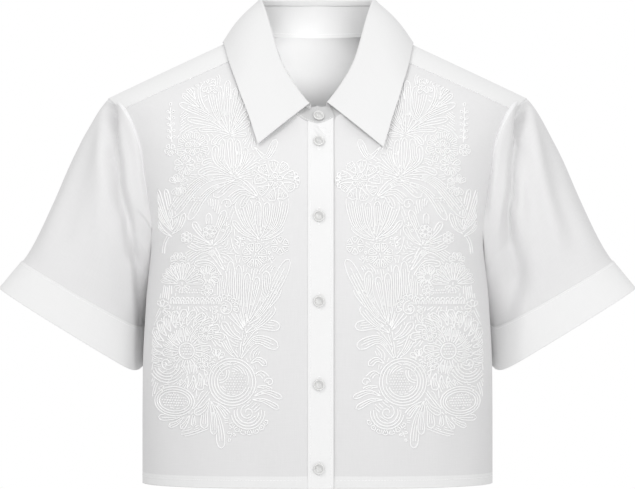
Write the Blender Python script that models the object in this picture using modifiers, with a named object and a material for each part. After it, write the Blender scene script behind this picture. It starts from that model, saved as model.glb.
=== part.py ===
"""A cropped, boxy, short-sleeved shirt as it hangs on a wearer who isn't there.

Units are metres. +Z is up, the front faces -Y and +X is the wearer's left. The origin is the nape: the inner
face of the yoke at the centre of the back neckline. Each cloth piece is an even grid whose points are moved
onto its outer face, and Solidify gives it its wall, inwards.
"""

import math
from collections import namedtuple

import bmesh
import bpy
import numpy as np
from mathutils import Vector
from mathutils.bvhtree import BVHTree

MM = 0.001

# Cloth walls and the gap left at seams
SINGLE_WALL = 1.2 * MM
DOUBLE_WALL = 1.8 * MM
LEAF_WALL = 1.4 * MM
CUFF_WALL = 2.0 * MM
HEM_WALL = 2.4 * MM
SEAM_GAP = 0.3 * MM
YOKE_SEAM_GAP = 0.7 * MM
LAYER_STEP = 2.5 * MM
MERGE_REACH = 0.02 * MM

# Body: the shoulder line runs from the neck points to the shoulder points
NECK_HALF = 70.0 * MM
NECK_POINT_Z = 2.0 * MM
SHOULDER_X = 220.0 * MM
SHOULDER_Z = -68.2 * MM
NAPE_DEPTH = 62.0 * MM
RIDGE_Y = SINGLE_WALL - NAPE_DEPTH
NECK_DROP = 99.0 * MM
NECK_PEAK = 20.0 * MM
NECK_ROUNDING = 1.25
NECK_AXIS_Y = RIDGE_Y - 10.0 * MM
ROLL_AT_NECK = 60.0 * MM
ROLL_AT_SHOULDER = 30.0 * MM
SECTION_POWER = 2.4
HEM_Z = -470.0 * MM
HEM_DEPTH = 9.0 * MM
UNDERARM_Z = -221.0 * MM
BREAK_Z = -190.0 * MM
NORMAL_STEP = 0.01

# Front opening: the outer placket laps over the inner one
OUTER_PLACKET = (-10.0 * MM, 16.5 * MM)
INNER_PLACKET = (-9.6 * MM, 13.0 * MM)
PROUD_REACH = 60.0 * MM

# Each half of an armhole has this many steps, and pieces that meet share them: the yoke takes the last ones
ARMHOLE_STEPS = 18
YOKE_FRONT_STEPS = 4
YOKE_BACK_STEPS = 5
YOKE_CENTRE_STEPS = 12
YOKE_FRONT_SHARE = 1 - YOKE_FRONT_STEPS / ARMHOLE_STEPS
YOKE_BACK_SHARE = 1 - YOKE_BACK_STEPS / ARMHOLE_STEPS
YOKE_NECK_X = 66.0 * MM
YOKE_CORNER_ANGLE = 112.0
YOKE_BACK_Z = -90.0 * MM

# Collar: the stand's two ends lap at the front, and the leaf turns down over it
STAND_OUTER_END = (17.5 * MM, 9.5 * MM)
STAND_INNER_END = (-13.0 * MM, -9.0 * MM)
LEAF_ENDS = (11.0 * MM, -8.0 * MM)
LEAF_CLEARANCE = 3.6 * MM
LEAF_STANDOFF = 3.2 * MM
LEAF_BULGE = 3.0 * MM
LEAF_LIFT = 0.35
LEAF_SHOULDER_ANGLES = (70.0, 110.0)
LEAF_REACH = 80.0 * MM
ROLL_HEIGHT = 2.6 * MM
ROLL_OUT = 2.5 * MM
ROLL_GAP = 1.3 * MM

# Buttons
BUTTON_X = 1.5 * MM
BUTTON_HEIGHTS = (-116.0, -192.0, -278.5, -363.5, -449.0)
STAND_BUTTON_SHARE = 0.42
STAND_BUTTON_ANGLE = 362.0

Section = namedtuple("Section", "height half_width front_depth back_depth")
SECTIONS = (
    Section(-470, 183.5, 116, 104),
    Section(-371, 183.3, 121, 103),
    Section(-345, 183.0, 122, 103),
    Section(-279, 179.5, 126, 104),
    Section(-221, 176.0, 128, 106),
    Section(-190, 181.0, 128, 107),
    Section(-151, 190.0, 126, 108),
    Section(-121, 200.0, 114, 107),
    Section(-95, 213.0, 99, 104),
    Section(-68, 227.0, 87, 98),
    Section(-29, 231.0, 62, 90),
    Section(0, 233.0, 50, 80),
    Section(40, 235.0, 44, 68),
)

# Armhole seam from the underarm to the shoulder point: its height, and its angle round the body's section
ArmholeRow = namedtuple("ArmholeRow", "share height angle")
ARMHOLE_FRONT = (
    ArmholeRow(0.000, -221.0, 90.0),
    ArmholeRow(0.130, -217.0, 80.0),
    ArmholeRow(0.212, -206.0, 73.1),
    ArmholeRow(0.317, -182.0, 70.9),
    ArmholeRow(0.445, -153.0, 68.3),
    ArmholeRow(0.626, -111.4, 62.8),
    ArmholeRow(0.700, -95.0, 61.8),
    ArmholeRow(0.778, -80.0, 62.4),
    ArmholeRow(1.000, -68.2, 74.2),
)
ARMHOLE_BACK = (
    ArmholeRow(0.000, -221.0, 90.0),
    ArmholeRow(0.110, -217.0, 80.0),
    ArmholeRow(0.190, -203.0, 74.0),
    ArmholeRow(0.336, -171.0, 70.0),
    ArmholeRow(0.518, -131.0, 66.0),
    ArmholeRow(0.695, -93.0, 63.5),
    ArmholeRow(0.805, -76.0, 65.0),
    ArmholeRow(1.000, -68.2, 74.2),
)

# Collar stand: how far its top edge rises and leans in, by the angle round the neck from the front
StandRow = namedtuple("StandRow", "angle rise lean")
STAND = (
    StandRow(0, 21, 12),
    StandRow(30, 23, 16),
    StandRow(60, 25, 18),
    StandRow(80, 29, 14),
    StandRow(90, 30, 11),
    StandRow(120, 33, 7),
    StandRow(180, 36, 4),
)

# Leaf's outer edge on the body: distance from the centre, how much more it is on the wearer's left, and the
# distance from the shoulder line, front negative
LeafRow = namedtuple("LeafRow", "angle out left_more along")
LEAF_EDGE = (
    LeafRow(10, 61, 6.5, -160),
    LeafRow(35, 69, 6.0, -131),
    LeafRow(60, 80.5, 4.5, -92),
    LeafRow(80, 93, 2.5, -42),
    LeafRow(92, 97.5, 1.0, 0),
    LeafRow(105, 94, 0.0, 20),
    LeafRow(125, 80, 0.0, 38),
    LeafRow(150, 49, 0.0, 55),
    LeafRow(180, 0, 0.0, 65),
)

# Sleeve rings from the front: the outer and inner ends, the half depth, and the inner end's lift and way back
SleeveRing = namedtuple("SleeveRing", "outer_x outer_z inner_x inner_z half_depth lift back")
CUFF_SEAM = SleeveRing(311.0, -240.5, 181.5, -321.0, 42.0, 14.0, 32.0)
CUFF_END = SleeveRing(333.5, -267.0, 181.5, -362.5, 38.0, 25.0, 34.0)
CUFF_SHARE = 0.84
RING_POWER = 2.3
LIFT_POWER = 12
BACK_POWER = 2
SLEEVE_START_PULL = 26.0 * MM
SLEEVE_END_PULL = 120.0 * MM
START_PULL_SHARE = 0.4
END_PULL_SHARE = 0.8
CUFF_DEPTH = 35.0 * MM

# The sleeve's cloth leaves the armhole down and a little back at the underarm, and outwards at the shoulder
UNDERARM_LEAVING = Vector((0.12, 0.45, -0.88))
SHOULDER_LEAVING = Vector((0.88, 0.0, -0.45))
LEAVING_SPREAD = 0.42
LEAVING_RISE_POWER = 0.6
LEAVING_BACK_POWER = 4

# Sleeve folds: troughs between two places, each with a low ridge beside it. Places are shares of the way
# round the sleeve from the underarm and along it, which the girth and length turn into millimetres
Fold = namedtuple("Fold", "side around_0 along_0 around_1 along_1 depth width")
SLEEVE_GIRTH = 390.0
SLEEVE_LENGTH = 200.0
FOLD_FADE_TOP = 0.10
FOLD_FADE_CUFF = 0.22
FOLD_TAPER = (0.12, 0.88)
FOLD_RIDGE = 0.35
FOLD_RIDGE_AWAY = 1.7
SLEEVE_NORMAL_STEP = 0.004
SLEEVE_FOLDS = (
    Fold(-1, 0.440, 0.09, 0.346, 0.20, 9.0, 11.0),
    Fold(-1, 0.346, 0.20, 0.200, 0.33, 12.0, 14.0),
    Fold(-1, 0.155, 0.40, 0.110, 0.78, 9.0, 15.0),
    Fold(-1, 0.600, 0.12, 0.720, 0.60, 7.0, 15.0),
    Fold(1, 0.410, 0.10, 0.300, 0.22, 7.0, 11.0),
    Fold(1, 0.300, 0.22, 0.200, 0.36, 9.0, 14.0),
    Fold(1, 0.410, 0.24, 0.330, 0.55, 4.0, 13.0),
    Fold(1, 0.205, 0.50, 0.165, 0.82, 7.0, 15.0),
    Fold(1, 0.600, 0.12, 0.720, 0.60, 7.0, 15.0),
)

Finish = namedtuple("Finish", "color roughness")
FINISHES = {
    "voile_single": Finish((0.86, 0.86, 0.86), 0.75),
    "cotton_double": Finish((0.93, 0.93, 0.93), 0.65),
    "shell_button": Finish((0.88, 0.88, 0.87), 0.25),
}


def mix(a, b, share):
    return a + (b - a) * share


def smooth(share):
    """Rises from 0 to 1 with level ends."""
    held = min(max(share, 0), 1)
    return held * held * (3 - 2 * held)


def curve_through(keys, values):
    """A smooth function through the rows of a short table: a cubic between each two of them."""
    k = np.array(keys, float)
    v = np.array(values, float)
    slope = np.gradient(v, k)

    def at(key):
        key = min(max(key, k[0]), k[-1])
        i = min(int(np.searchsorted(k, key, side="right")) - 1, len(k) - 2)
        span = k[i + 1] - k[i]
        t = (key - k[i]) / span
        rest = 1 - t
        ends = v[i] * (1 + 2 * t) * rest**2 + v[i + 1] * (3 - 2 * t) * t**2
        pulls = slope[i] * t * rest**2 - slope[i + 1] * rest * t**2
        return float(ends + pulls * span)

    return at


def column(rows, key, value, unit=MM):
    """The smooth function that reads one column of a table, its key in metres, shares or degrees."""
    key_unit = MM if key == "height" else 1
    keys = [getattr(row, key) * key_unit for row in rows]
    return curve_through(keys, [getattr(row, value) * unit for row in rows])


half_width = column(SECTIONS, "height", "half_width")
front_depth = column(SECTIONS, "height", "front_depth")
back_depth = column(SECTIONS, "height", "back_depth")
stand_rise = column(STAND, "angle", "rise")
stand_lean = column(STAND, "angle", "lean")
leaf_out = column(LEAF_EDGE, "angle", "out")
leaf_left_more = column(LEAF_EDGE, "angle", "left_more")
leaf_along = column(LEAF_EDGE, "angle", "along")
ARMHOLES = {
    face: (column(rows, "share", "height"), column(rows, "share", "angle", 1))
    for face, rows in (("front", ARMHOLE_FRONT), ("back", ARMHOLE_BACK))
}


def ridge_height(x):
    """Height of the shoulder line at x, carried on over the neck hole as a low hump."""
    out = abs(x)
    if out < NECK_HALF:
        return NECK_POINT_Z + NECK_PEAK * (1 - (out / NECK_HALF) ** 2)
    slope = (NECK_POINT_Z - SHOULDER_Z) / (SHOULDER_X - NECK_HALF)
    return NECK_POINT_Z - slope * (out - NECK_HALF)


def roll_radius(x):
    """Radius of the cloth's turn over the shoulder line."""
    share = (abs(x) - NECK_HALF) / (SHOULDER_X - NECK_HALF)
    return mix(ROLL_AT_NECK, ROLL_AT_SHOULDER, min(max(share, 0), 1))


def form_point(x, z, face, proud=0.0):
    """The body's outer face at x and z, on its front or its back."""
    reach = front_depth(z) if face == "front" else back_depth(z)
    share = min(abs(x) / half_width(z), 1)
    bulge = (1 - share**SECTION_POWER) ** (1 / SECTION_POWER)
    drop = max(ridge_height(x) - z, 0) / roll_radius(x)
    roll = math.sqrt(1 - (1 - min(drop, 1)) ** 2)
    depth = reach * bulge * roll + proud
    return Vector((x, RIDGE_Y + (depth if face == "back" else -depth), z))


def drop_to_along(x, z, face):
    """The distance along the cloth from the shoulder line, for a place given by its height."""
    radius = roll_radius(x)
    drop = max(ridge_height(x) - z, 0)
    run = radius * math.acos(1 - drop / radius) if drop < radius else radius * math.pi / 2 + drop - radius
    return run if face == "back" else -run


def form_over(x, along):
    """The body's outer face at a distance along the cloth from the shoulder line, front negative."""
    radius = roll_radius(x)
    quarter = radius * math.pi / 2
    run = abs(along)
    drop = radius * (1 - math.cos(run / radius)) if run < quarter else radius + run - quarter
    return form_point(x, ridge_height(x) - drop, "back" if along > 0 else "front")


def section_angle(x, width):
    return math.asin(min(abs(x) / width, 1) ** (SECTION_POWER / 2))


def section_x(angle, width):
    return width * math.sin(angle) ** (2 / SECTION_POWER)


def armhole_place(face, share):
    """(distance from the centre, height) of the armhole seam."""
    height, angle = ARMHOLES[face]
    z = height(share)
    return section_x(math.radians(angle(share)), half_width(z)), z


def armhole_point(side, face, share):
    x, z = armhole_place(face, share)
    return form_point(side * x, z, face)


def form_normal(x, z, face):
    """The outward direction of the body's face, from points a little to each side, above and below."""
    width = half_width(z)
    angle = section_angle(x, width)
    along = drop_to_along(x, z, face)
    inner, outer = (
        form_over(math.copysign(section_x(min(max(angle + step, 0), math.pi / 2), width), x), along)
        for step in (-NORMAL_STEP, NORMAL_STEP)
    )
    run = form_over(x, along + MM) - form_over(x, along - MM)
    normal = (outer - inner).cross(run).normalized()
    away = Vector((x, form_point(x, z, face).y - RIDGE_Y, NECK_DROP if along > -ROLL_AT_SHOULDER else 0))
    return normal if normal.dot(away) > 0 else -normal


def seam_offset(leaving, normal, wall):
    """How far past a seam a wall starts, so that its inner corner clears the piece that it is sewn to."""
    return SEAM_GAP + wall * max(-leaving.dot(normal), 0)


def neckline_place(angle):
    """(distance from the centre, height, face) of the neckline, its angle from the centre front."""
    turn = math.radians(angle)
    flat, down = abs(math.sin(turn)), abs(math.cos(turn))
    if angle <= 90:
        return NECK_HALF * flat**NECK_ROUNDING, NECK_POINT_Z - NECK_DROP * down**NECK_ROUNDING, "front"
    return NECK_HALF * flat, NECK_POINT_Z * (1 - down), "back"


def neckline_angle(x):
    return math.degrees(math.asin((abs(x) / NECK_HALF) ** (1 / NECK_ROUNDING)))


def neckline_point(angle):
    """The neckline all round: 0 is the centre front, 90 the wearer's left, 180 the nape and 360 the front."""
    turned = angle % 360
    side = 1 if turned <= 180 else -1
    x, z, face = neckline_place(turned if side > 0 else 360 - turned)
    return form_point(side * x, z, face)


def proud_of(x, side):
    """How far the wearer's right front stands out, to lap over the left one."""
    if side > 0:
        return 0.0
    return LAYER_STEP * smooth(1 - (abs(x) - abs(OUTER_PLACKET[0])) / PROUD_REACH)


def cloth(name, columns, rows, place, wall, finish, closed=False, hem=None):
    """One cloth piece. place(u, v) gives its outer face, and hem(v) is true where it is turned up double."""
    grid = bmesh.new()
    bmesh.ops.create_grid(grid, x_segments=columns, y_segments=rows, size=0.5)
    doubled = []
    for vert in grid.verts:
        u, v = vert.co.x + 0.5, vert.co.y + 0.5
        vert.co = place(u, v)
        doubled.append(hem is not None and hem(v))
    if closed:
        bmesh.ops.remove_doubles(grid, verts=grid.verts, dist=MERGE_REACH)
    piece = add_object(name, grid, finish)
    solidify = piece.modifiers.new("Wall", "SOLIDIFY")
    solidify.thickness = wall
    solidify.offset = -1
    if any(doubled):
        group = piece.vertex_groups.new(name="turned_up")
        group.add([i for i, thick in enumerate(doubled) if thick], 1.0, "REPLACE")
        solidify.thickness = HEM_WALL
        solidify.vertex_group = group.name
        solidify.thickness_vertex_group = wall / HEM_WALL
    return piece


def add_object(name, mesh_source, finish):
    mesh = bpy.data.meshes.new(name)
    mesh_source.to_mesh(mesh)
    mesh_source.free()
    mesh.shade_smooth()
    mesh.materials.append(bpy.data.materials[finish])
    piece = bpy.data.objects.new(name, mesh)
    bpy.data.collections["cropped_shirt"].objects.link(piece)
    return piece


def make_finishes():
    for name, finish in FINISHES.items():
        material = bpy.data.materials.new(name)
        material.use_nodes = True
        shader = material.node_tree.nodes["Principled BSDF"]
        shader.inputs["Base Color"].default_value = (*finish.color, 1)
        shader.inputs["Roughness"].default_value = finish.roughness
        shader.inputs["Metallic"].default_value = 0


# Front panels

NEARLY_ALL = 1 - 1e-6
FRONT_COLUMNS = 14
ROWS_TO_UNDERARM = 11
NECKLINE_STEPS = 6
FRONT_ROWS = ROWS_TO_UNDERARM + ARMHOLE_STEPS - YOKE_FRONT_STEPS
ROWS_TO_NECK = FRONT_ROWS - NECKLINE_STEPS


def side_height(row, rows, top):
    """Height of a row between the hem and the top, the first row ending at the hem's own depth."""
    if row <= 1:
        return mix(HEM_Z, HEM_Z + HEM_DEPTH, row)
    return mix(HEM_Z + HEM_DEPTH, top, (row - 1) / (rows - 1))


def opening_height(row, top):
    """Height of a row at the front opening, from the hem up to the neckline at the given top."""
    if row <= ROWS_TO_UNDERARM:
        return side_height(row, ROWS_TO_UNDERARM, BREAK_Z)
    return mix(BREAK_Z, top, (row - ROWS_TO_UNDERARM) / (ROWS_TO_NECK - ROWS_TO_UNDERARM))


def front_edge(side):
    return (INNER_PLACKET[1] if side > 0 else -OUTER_PLACKET[0]) + SEAM_GAP


def front_neck_angle(side, step):
    return mix(neckline_angle(front_edge(side)), yoke_neck_angle(0), step / NECKLINE_STEPS)


def front_row(side, row):
    """(inner x, inner z, outer x, outer z) of a row of a front panel."""
    if row <= ROWS_TO_UNDERARM:
        outer_z = side_height(row, ROWS_TO_UNDERARM, UNDERARM_Z)
        outer_x = half_width(outer_z)
    else:
        outer_x, outer_z = armhole_place("front", (row - ROWS_TO_UNDERARM) / ARMHOLE_STEPS)
    inner_x, neck_z, _ = neckline_place(front_neck_angle(side, max(row - ROWS_TO_NECK, 0)))
    return inner_x, opening_height(row, neck_z) if row < ROWS_TO_NECK else neck_z, outer_x, outer_z


def along_row(row, share):
    """(x, z) at a share of the way along a row, evenly spaced round the body's section."""
    inner_x, inner_z, outer_x, outer_z = row
    width = max(half_width(outer_z), outer_x)
    angle = mix(section_angle(inner_x, width), section_angle(outer_x, width), share)
    x = section_x(angle, width)
    return x, mix(inner_z, outer_z, (x - inner_x) / (outer_x - inner_x))


def front_place(side):
    def place(u, v):
        share = u if side > 0 else 1 - u
        row = round(v * FRONT_ROWS)
        x, z = along_row(front_row(side, row), share)
        point = form_point(side * x, z - YOKE_SEAM_GAP / 2 * (row == FRONT_ROWS), "front", proud_of(x, side))
        if share > NEARLY_ALL and row <= ROWS_TO_UNDERARM:
            point.y = RIDGE_Y - SEAM_GAP / 2
        return point

    return place


def is_hem(v, rows):
    """True on the first two rows of points, which the turned-up cloth ends at."""
    return v < 1.5 / rows


# Back panel

BACK_COLUMNS = 2 * YOKE_CENTRE_STEPS
BACK_ROWS_TO_UNDERARM = 8
BACK_ROWS = BACK_ROWS_TO_UNDERARM + ARMHOLE_STEPS - YOKE_BACK_STEPS


def back_row(row):
    if row <= BACK_ROWS_TO_UNDERARM:
        z = side_height(row, BACK_ROWS_TO_UNDERARM, UNDERARM_Z)
        return 0.0, z, half_width(z), z
    share = (row - BACK_ROWS_TO_UNDERARM) / ARMHOLE_STEPS
    x, z = armhole_place("back", share)
    return 0.0, mix(UNDERARM_Z, YOKE_BACK_Z, share / YOKE_BACK_SHARE), x, z


def back_place(u, v):
    side = 1 if u < 0.5 else -1
    share = abs(1 - 2 * u)
    row = round(v * BACK_ROWS)
    x, z = along_row(back_row(row), share)
    point = form_point(side * x, z - YOKE_SEAM_GAP / 2 * (row == BACK_ROWS), "back")
    if share > NEARLY_ALL and row <= BACK_ROWS_TO_UNDERARM:
        point.y = RIDGE_Y + SEAM_GAP / 2
    return point


# Yoke

YOKE_ROWS = 7
YOKE_OVER_STEPS = YOKE_FRONT_STEPS + YOKE_BACK_STEPS
YOKE_STEPS = YOKE_OVER_STEPS + YOKE_CENTRE_STEPS


def yoke_neck_angle(step):
    """Angle round the neck of each of the yoke's steps, from its front seam to the nape."""
    front = neckline_angle(YOKE_NECK_X)
    angles = (front, 90, YOKE_CORNER_ANGLE, 180)
    return float(np.interp(step, (0, YOKE_FRONT_STEPS, YOKE_OVER_STEPS, YOKE_STEPS), angles))


def yoke_outer_place(step):
    """(distance from the centre, height, face) of the yoke's armhole edge and then of its back seam."""
    if step <= YOKE_FRONT_STEPS:
        return *armhole_place("front", YOKE_FRONT_SHARE + step / ARMHOLE_STEPS), "front"
    if step <= YOKE_OVER_STEPS:
        return *armhole_place("back", 1 - (step - YOKE_FRONT_STEPS) / ARMHOLE_STEPS), "back"
    corner_x, corner_z = armhole_place("back", YOKE_BACK_SHARE)
    share = (step - YOKE_OVER_STEPS) / YOKE_CENTRE_STEPS
    x, z = along_row((0.0, YOKE_BACK_Z, corner_x, corner_z), 1 - share)
    return x, z, "back"


def yoke_place(u, v):
    side = 1 if u < 0.5 else -1
    step = round((1 - abs(1 - 2 * u)) * YOKE_STEPS)
    x_in, z_in, face_in = neckline_place(yoke_neck_angle(step))
    x_out, z_out, face = yoke_outer_place(step)
    if step == 0:
        x, z = along_row((x_in, z_in, x_out, z_out), 1 - v)
        return form_point(side * x, z + YOKE_SEAM_GAP / 2, "front")
    if step >= YOKE_OVER_STEPS:
        z_out += YOKE_SEAM_GAP / 2
    run_in, run_out = drop_to_along(x_in, z_in, face_in), drop_to_along(x_out, z_out, face)
    return form_over(side * mix(x_out, x_in, v), mix(run_out, run_in, v))


# Plackets

def placket_place(left, right, proud):
    """A strip up the opening, whose rows are those of the front panels' inner edges."""

    def place(u, v):
        angle = mix(-neckline_angle(left), neckline_angle(right), u)
        x, top, _ = neckline_place(abs(angle))
        x = math.copysign(x, angle)
        z = opening_height(v * ROWS_TO_NECK, top)
        return form_point(x, z, "front", proud)

    return place


# Collar

LAP_STEPS = 6
STAND_STEPS = 2 * (LAP_STEPS + NECKLINE_STEPS + YOKE_STEPS)
STAND_ROWS = 3
LAP_CLEAR_ANGLE = 20.0
RIGHT_FRONT_ANGLE = 270.0
LEAF_STEPS = 2 * (1 + NECKLINE_STEPS + YOKE_STEPS)
ROLL_ROWS = 3
LEAF_ROWS = 8


def lean_direction(point):
    inward = Vector((-point.x, NECK_AXIS_Y - point.y, 0))
    return inward.normalized()


def folded_angle(angle):
    turned = angle % 360
    return min(turned, 360 - turned)


def stand_point(angle, up):
    """The stand's outer face, from the neckline seam at 0 to its top edge at 1."""
    folded = folded_angle(angle)
    base = neckline_point(angle)
    inward = lean_direction(base)
    lap = min(max((angle - LAP_CLEAR_ANGLE) / (360 - 2 * LAP_CLEAR_ANGLE), 0), 1)
    rise = Vector((0, 0, stand_rise(folded))) + inward * stand_lean(folded)
    leaving = rise.normalized()
    outward = (neckline_point(angle + 1) - neckline_point(angle - 1)).cross(leaving).normalized()
    normal = form_normal(base.x, base.z, "front" if folded <= 90 else "back")
    sewn = seam_offset(leaving, normal, DOUBLE_WALL)
    if angle > RIGHT_FRONT_ANGLE:
        sewn -= proud_of(min(base.x, 0), -1) * leaving.y
    return base + outward * LAYER_STEP * lap + leaving * sewn + rise * up


def stand_angle(step, up):
    """Angle of a step, from the lap's under end round a front, the yoke and the other front."""
    stops = (0, LAP_STEPS, LAP_STEPS + NECKLINE_STEPS, STAND_STEPS // 2)
    if step <= STAND_STEPS // 2:
        inner_end = neckline_angle(mix(*STAND_INNER_END, up))
        angles = (-inner_end, front_neck_angle(1, 0), yoke_neck_angle(0))
        return yoke_or_front_angle(step, stops, angles)
    outer_end = neckline_angle(mix(*STAND_OUTER_END, up))
    angles = (-outer_end, front_neck_angle(-1, 0), yoke_neck_angle(0))
    return 360 - yoke_or_front_angle(STAND_STEPS - step, stops, angles)


def yoke_or_front_angle(step, stops, angles):
    if step > stops[2]:
        return yoke_neck_angle(step - stops[2])
    return float(np.interp(step, stops[:3], angles))


def stand_place(u, v):
    return stand_point(stand_angle(round(u * STAND_STEPS), v), v)


def leaf_angle(step):
    """Angle of a step of the leaf: the stand's own steps, but for its two ends."""
    if step == 0:
        return neckline_angle(LEAF_ENDS[0])
    if step == LEAF_STEPS:
        return 360 - neckline_angle(LEAF_ENDS[1])
    return stand_angle(step - 1 + LAP_STEPS, 1)


def leaf_rest(step):
    """The place on the body that the leaf's outer edge lies over: the first and last steps are its points."""
    side = 1 if step < LEAF_STEPS / 2 else -1
    folded = LEAF_EDGE[0].angle if step in (0, LEAF_STEPS) else folded_angle(leaf_angle(step))
    out = leaf_out(folded) + (leaf_left_more(folded) if side > 0 else 0)
    return form_over(side * out, leaf_along(folded))


def outermost(point, outward, under):
    """How far out along a direction the pieces below a point reach, or None."""
    start = point + outward * LEAF_REACH
    hits = [tree.ray_cast(start, -outward, 2 * LEAF_REACH)[0] for tree in under]
    reached = [(hit - point).dot(outward) for hit in hits if hit is not None]
    return max(reached) if reached else None


def leaf_place(under):
    def place(u, v):
        step = round((1 - u) * LEAF_STEPS)
        angle = leaf_angle(step)
        folded = folded_angle(angle)
        top = stand_point(angle, 1)
        edge = (stand_point(angle + 1, 1) - stand_point(angle - 1, 1)).normalized()
        outward = edge.cross(top - stand_point(angle, 0)).normalized()
        upward = outward.cross(edge)
        rolled = ROLL_ROWS / LEAF_ROWS
        if v <= rolled:
            turn = math.pi * (1 - v / rolled)
            across = mix(-DOUBLE_WALL, ROLL_OUT, (math.cos(turn) + 1) / 2)
            return top + outward * across + upward * (ROLL_GAP + ROLL_HEIGHT * math.sin(turn))
        start = top + outward * ROLL_OUT + upward * ROLL_GAP
        share = (v - rolled) / (1 - rolled)
        rest = leaf_rest(step)
        lift = 1 if LEAF_SHOULDER_ANGLES[0] < folded < LEAF_SHOULDER_ANGLES[1] else LEAF_LIFT
        away = (Vector((outward.x, outward.y, 0)).normalized() + Vector((0, 0, lift))).normalized()
        end = rest + away * LEAF_CLEARANCE
        point = start.lerp(end, share) + away * LEAF_BULGE * math.sin(math.pi * share)
        reached = outermost(point, away, under)
        if reached is not None and reached > -LEAF_STANDOFF:
            point += away * (reached + LEAF_STANDOFF)
        return point

    return place


# Sleeves

SLEEVE_COLUMNS = 2 * ARMHOLE_STEPS
SLEEVE_ROWS = 16
CUFF_ROWS = 2


def ring_point(ring, side, around):
    """A place on a sleeve ring: 0 is the underarm, a quarter the front, a half the top, then the back."""
    turn = 2 * math.pi * around
    inner = Vector((side * ring.inner_x, 0, ring.inner_z)) * MM
    outer = Vector((side * ring.outer_x, 0, ring.outer_z)) * MM
    power = 2 / RING_POWER
    along = -math.copysign(abs(math.cos(turn)) ** power, math.cos(turn))
    depth = -math.copysign(abs(math.sin(turn)) ** power, math.sin(turn)) * ring.half_depth * MM
    to_inner = (1 - along) / 2
    back = ring.back * MM * to_inner**BACK_POWER
    lift = ring.lift * MM * to_inner**LIFT_POWER
    return outer.lerp(inner, to_inner) + Vector((0, RIDGE_Y + depth + back, lift))


def armhole_ring_point(side, around):
    face = "front" if around <= 0.5 else "back"
    share = 2 * around if around <= 0.5 else 2 - 2 * around
    return armhole_point(side, face, share)


def sleeve_leaving(side, around):
    """The direction in which the cloth leaves the armhole seam: down at the underarm, out at the shoulder."""
    turn = 2 * math.pi * around
    top = (1 - math.cos(turn)) / 2
    leaving = UNDERARM_LEAVING.lerp(SHOULDER_LEAVING, top**LEAVING_RISE_POWER)
    back = UNDERARM_LEAVING.y * (1 - top) ** LEAVING_BACK_POWER - LEAVING_SPREAD * math.sin(turn)
    return Vector((side * leaving.x, back, leaving.z)).normalized()


def sleeve_base(side, around, along):
    """The sleeve's outer face without its folds, from the armhole at 0 to the cuff's end at 1."""
    seam = ring_point(CUFF_SEAM, side, around)
    end = ring_point(CUFF_END, side, around)
    if along >= CUFF_SHARE:
        return seam.lerp(end, (along - CUFF_SHARE) / (1 - CUFF_SHARE))
    leaving = sleeve_leaving(side, around)
    start = armhole_ring_point(side, around)
    normal = form_normal(start.x, start.z, "front" if around <= 0.5 else "back")
    start += leaving * seam_offset(leaving, normal, SINGLE_WALL)
    reach = (seam - start).length
    pull_0 = 3 * leaving * min(SLEEVE_START_PULL, reach * START_PULL_SHARE)
    pull_1 = (end - seam).normalized() * min(SLEEVE_END_PULL, reach * END_PULL_SHARE)
    t = along / CUFF_SHARE
    rest = 1 - t
    ends = start * ((1 + 2 * t) * rest**2) + seam * ((3 - 2 * t) * t**2)
    return ends + pull_0 * (t * rest**2) - pull_1 * (rest * t**2)


def fold_depth(side, around, along):
    """How far the troughs pull the cloth in."""
    total = 0.0
    for fold in SLEEVE_FOLDS:
        if fold.side != side:
            continue
        start = Vector((fold.around_0 * SLEEVE_GIRTH, fold.along_0 * SLEEVE_LENGTH))
        run = Vector((fold.around_1 * SLEEVE_GIRTH, fold.along_1 * SLEEVE_LENGTH)) - start
        here = Vector((around * SLEEVE_GIRTH, along * SLEEVE_LENGTH)) - start
        share = min(max(here.dot(run) / run.length_squared, 0), 1)
        away = (here - run * share).length / fold.width
        taper = math.sin(math.pi * mix(*FOLD_TAPER, share))
        ridge = FOLD_RIDGE * math.exp(-((away - FOLD_RIDGE_AWAY) ** 2))
        total += fold.depth * taper * (math.exp(-away * away) - ridge)
    return total * MM


def sleeve_point(side, around, along):
    """The sleeve's outer face, its folds pulled in along the cloth's normal."""
    step = SLEEVE_NORMAL_STEP
    point = sleeve_base(side, around, along)
    ahead = sleeve_base(side, around, min(along + step, 1)) - sleeve_base(side, around, max(along - step, 0))
    turn = sleeve_base(side, (around + step) % 1, along) - sleeve_base(side, (around - step) % 1, along)
    normal = turn.cross(ahead).normalized() * (1 if side < 0 else -1)
    fade = smooth(along / FOLD_FADE_TOP) * smooth((CUFF_SHARE - along) / FOLD_FADE_CUFF)
    return point - normal * fold_depth(side, around, along) * fade


def sleeve_place(side, start, end):
    def place(u, v):
        around = u % 1 if side < 0 else (1 - u) % 1
        return sleeve_point(side, around, mix(start, end, v))

    return place


# Buttons

BUTTON_STEPS = 16
BUTTON_PROFILE = ((4.6, 0.0), (5.7, 0.5), (6.0, 1.3), (5.3, 2.3), (4.3, 1.7), (0.0, 1.6))


def button(name, place, normal):
    """A turned button, its back on the cloth and its axis along the cloth's normal."""
    profile = bmesh.new()
    points = [(0.0, 0.0), *BUTTON_PROFILE]
    verts = [profile.verts.new((r * MM, 0, z * MM)) for r, z in reversed(points)]
    for a, b in zip(verts, verts[1:]):
        profile.edges.new((a, b))
    piece = add_object(name, profile, "shell_button")
    screw = piece.modifiers.new("Turned", "SCREW")
    screw.steps = screw.render_steps = BUTTON_STEPS
    screw.use_merge_vertices = True
    screw.merge_threshold = 0.01 * MM
    piece.location = place + normal * SEAM_GAP
    piece.rotation_mode = "QUATERNION"
    piece.rotation_quaternion = normal.to_track_quat("Z", "Y")
    return piece


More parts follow.
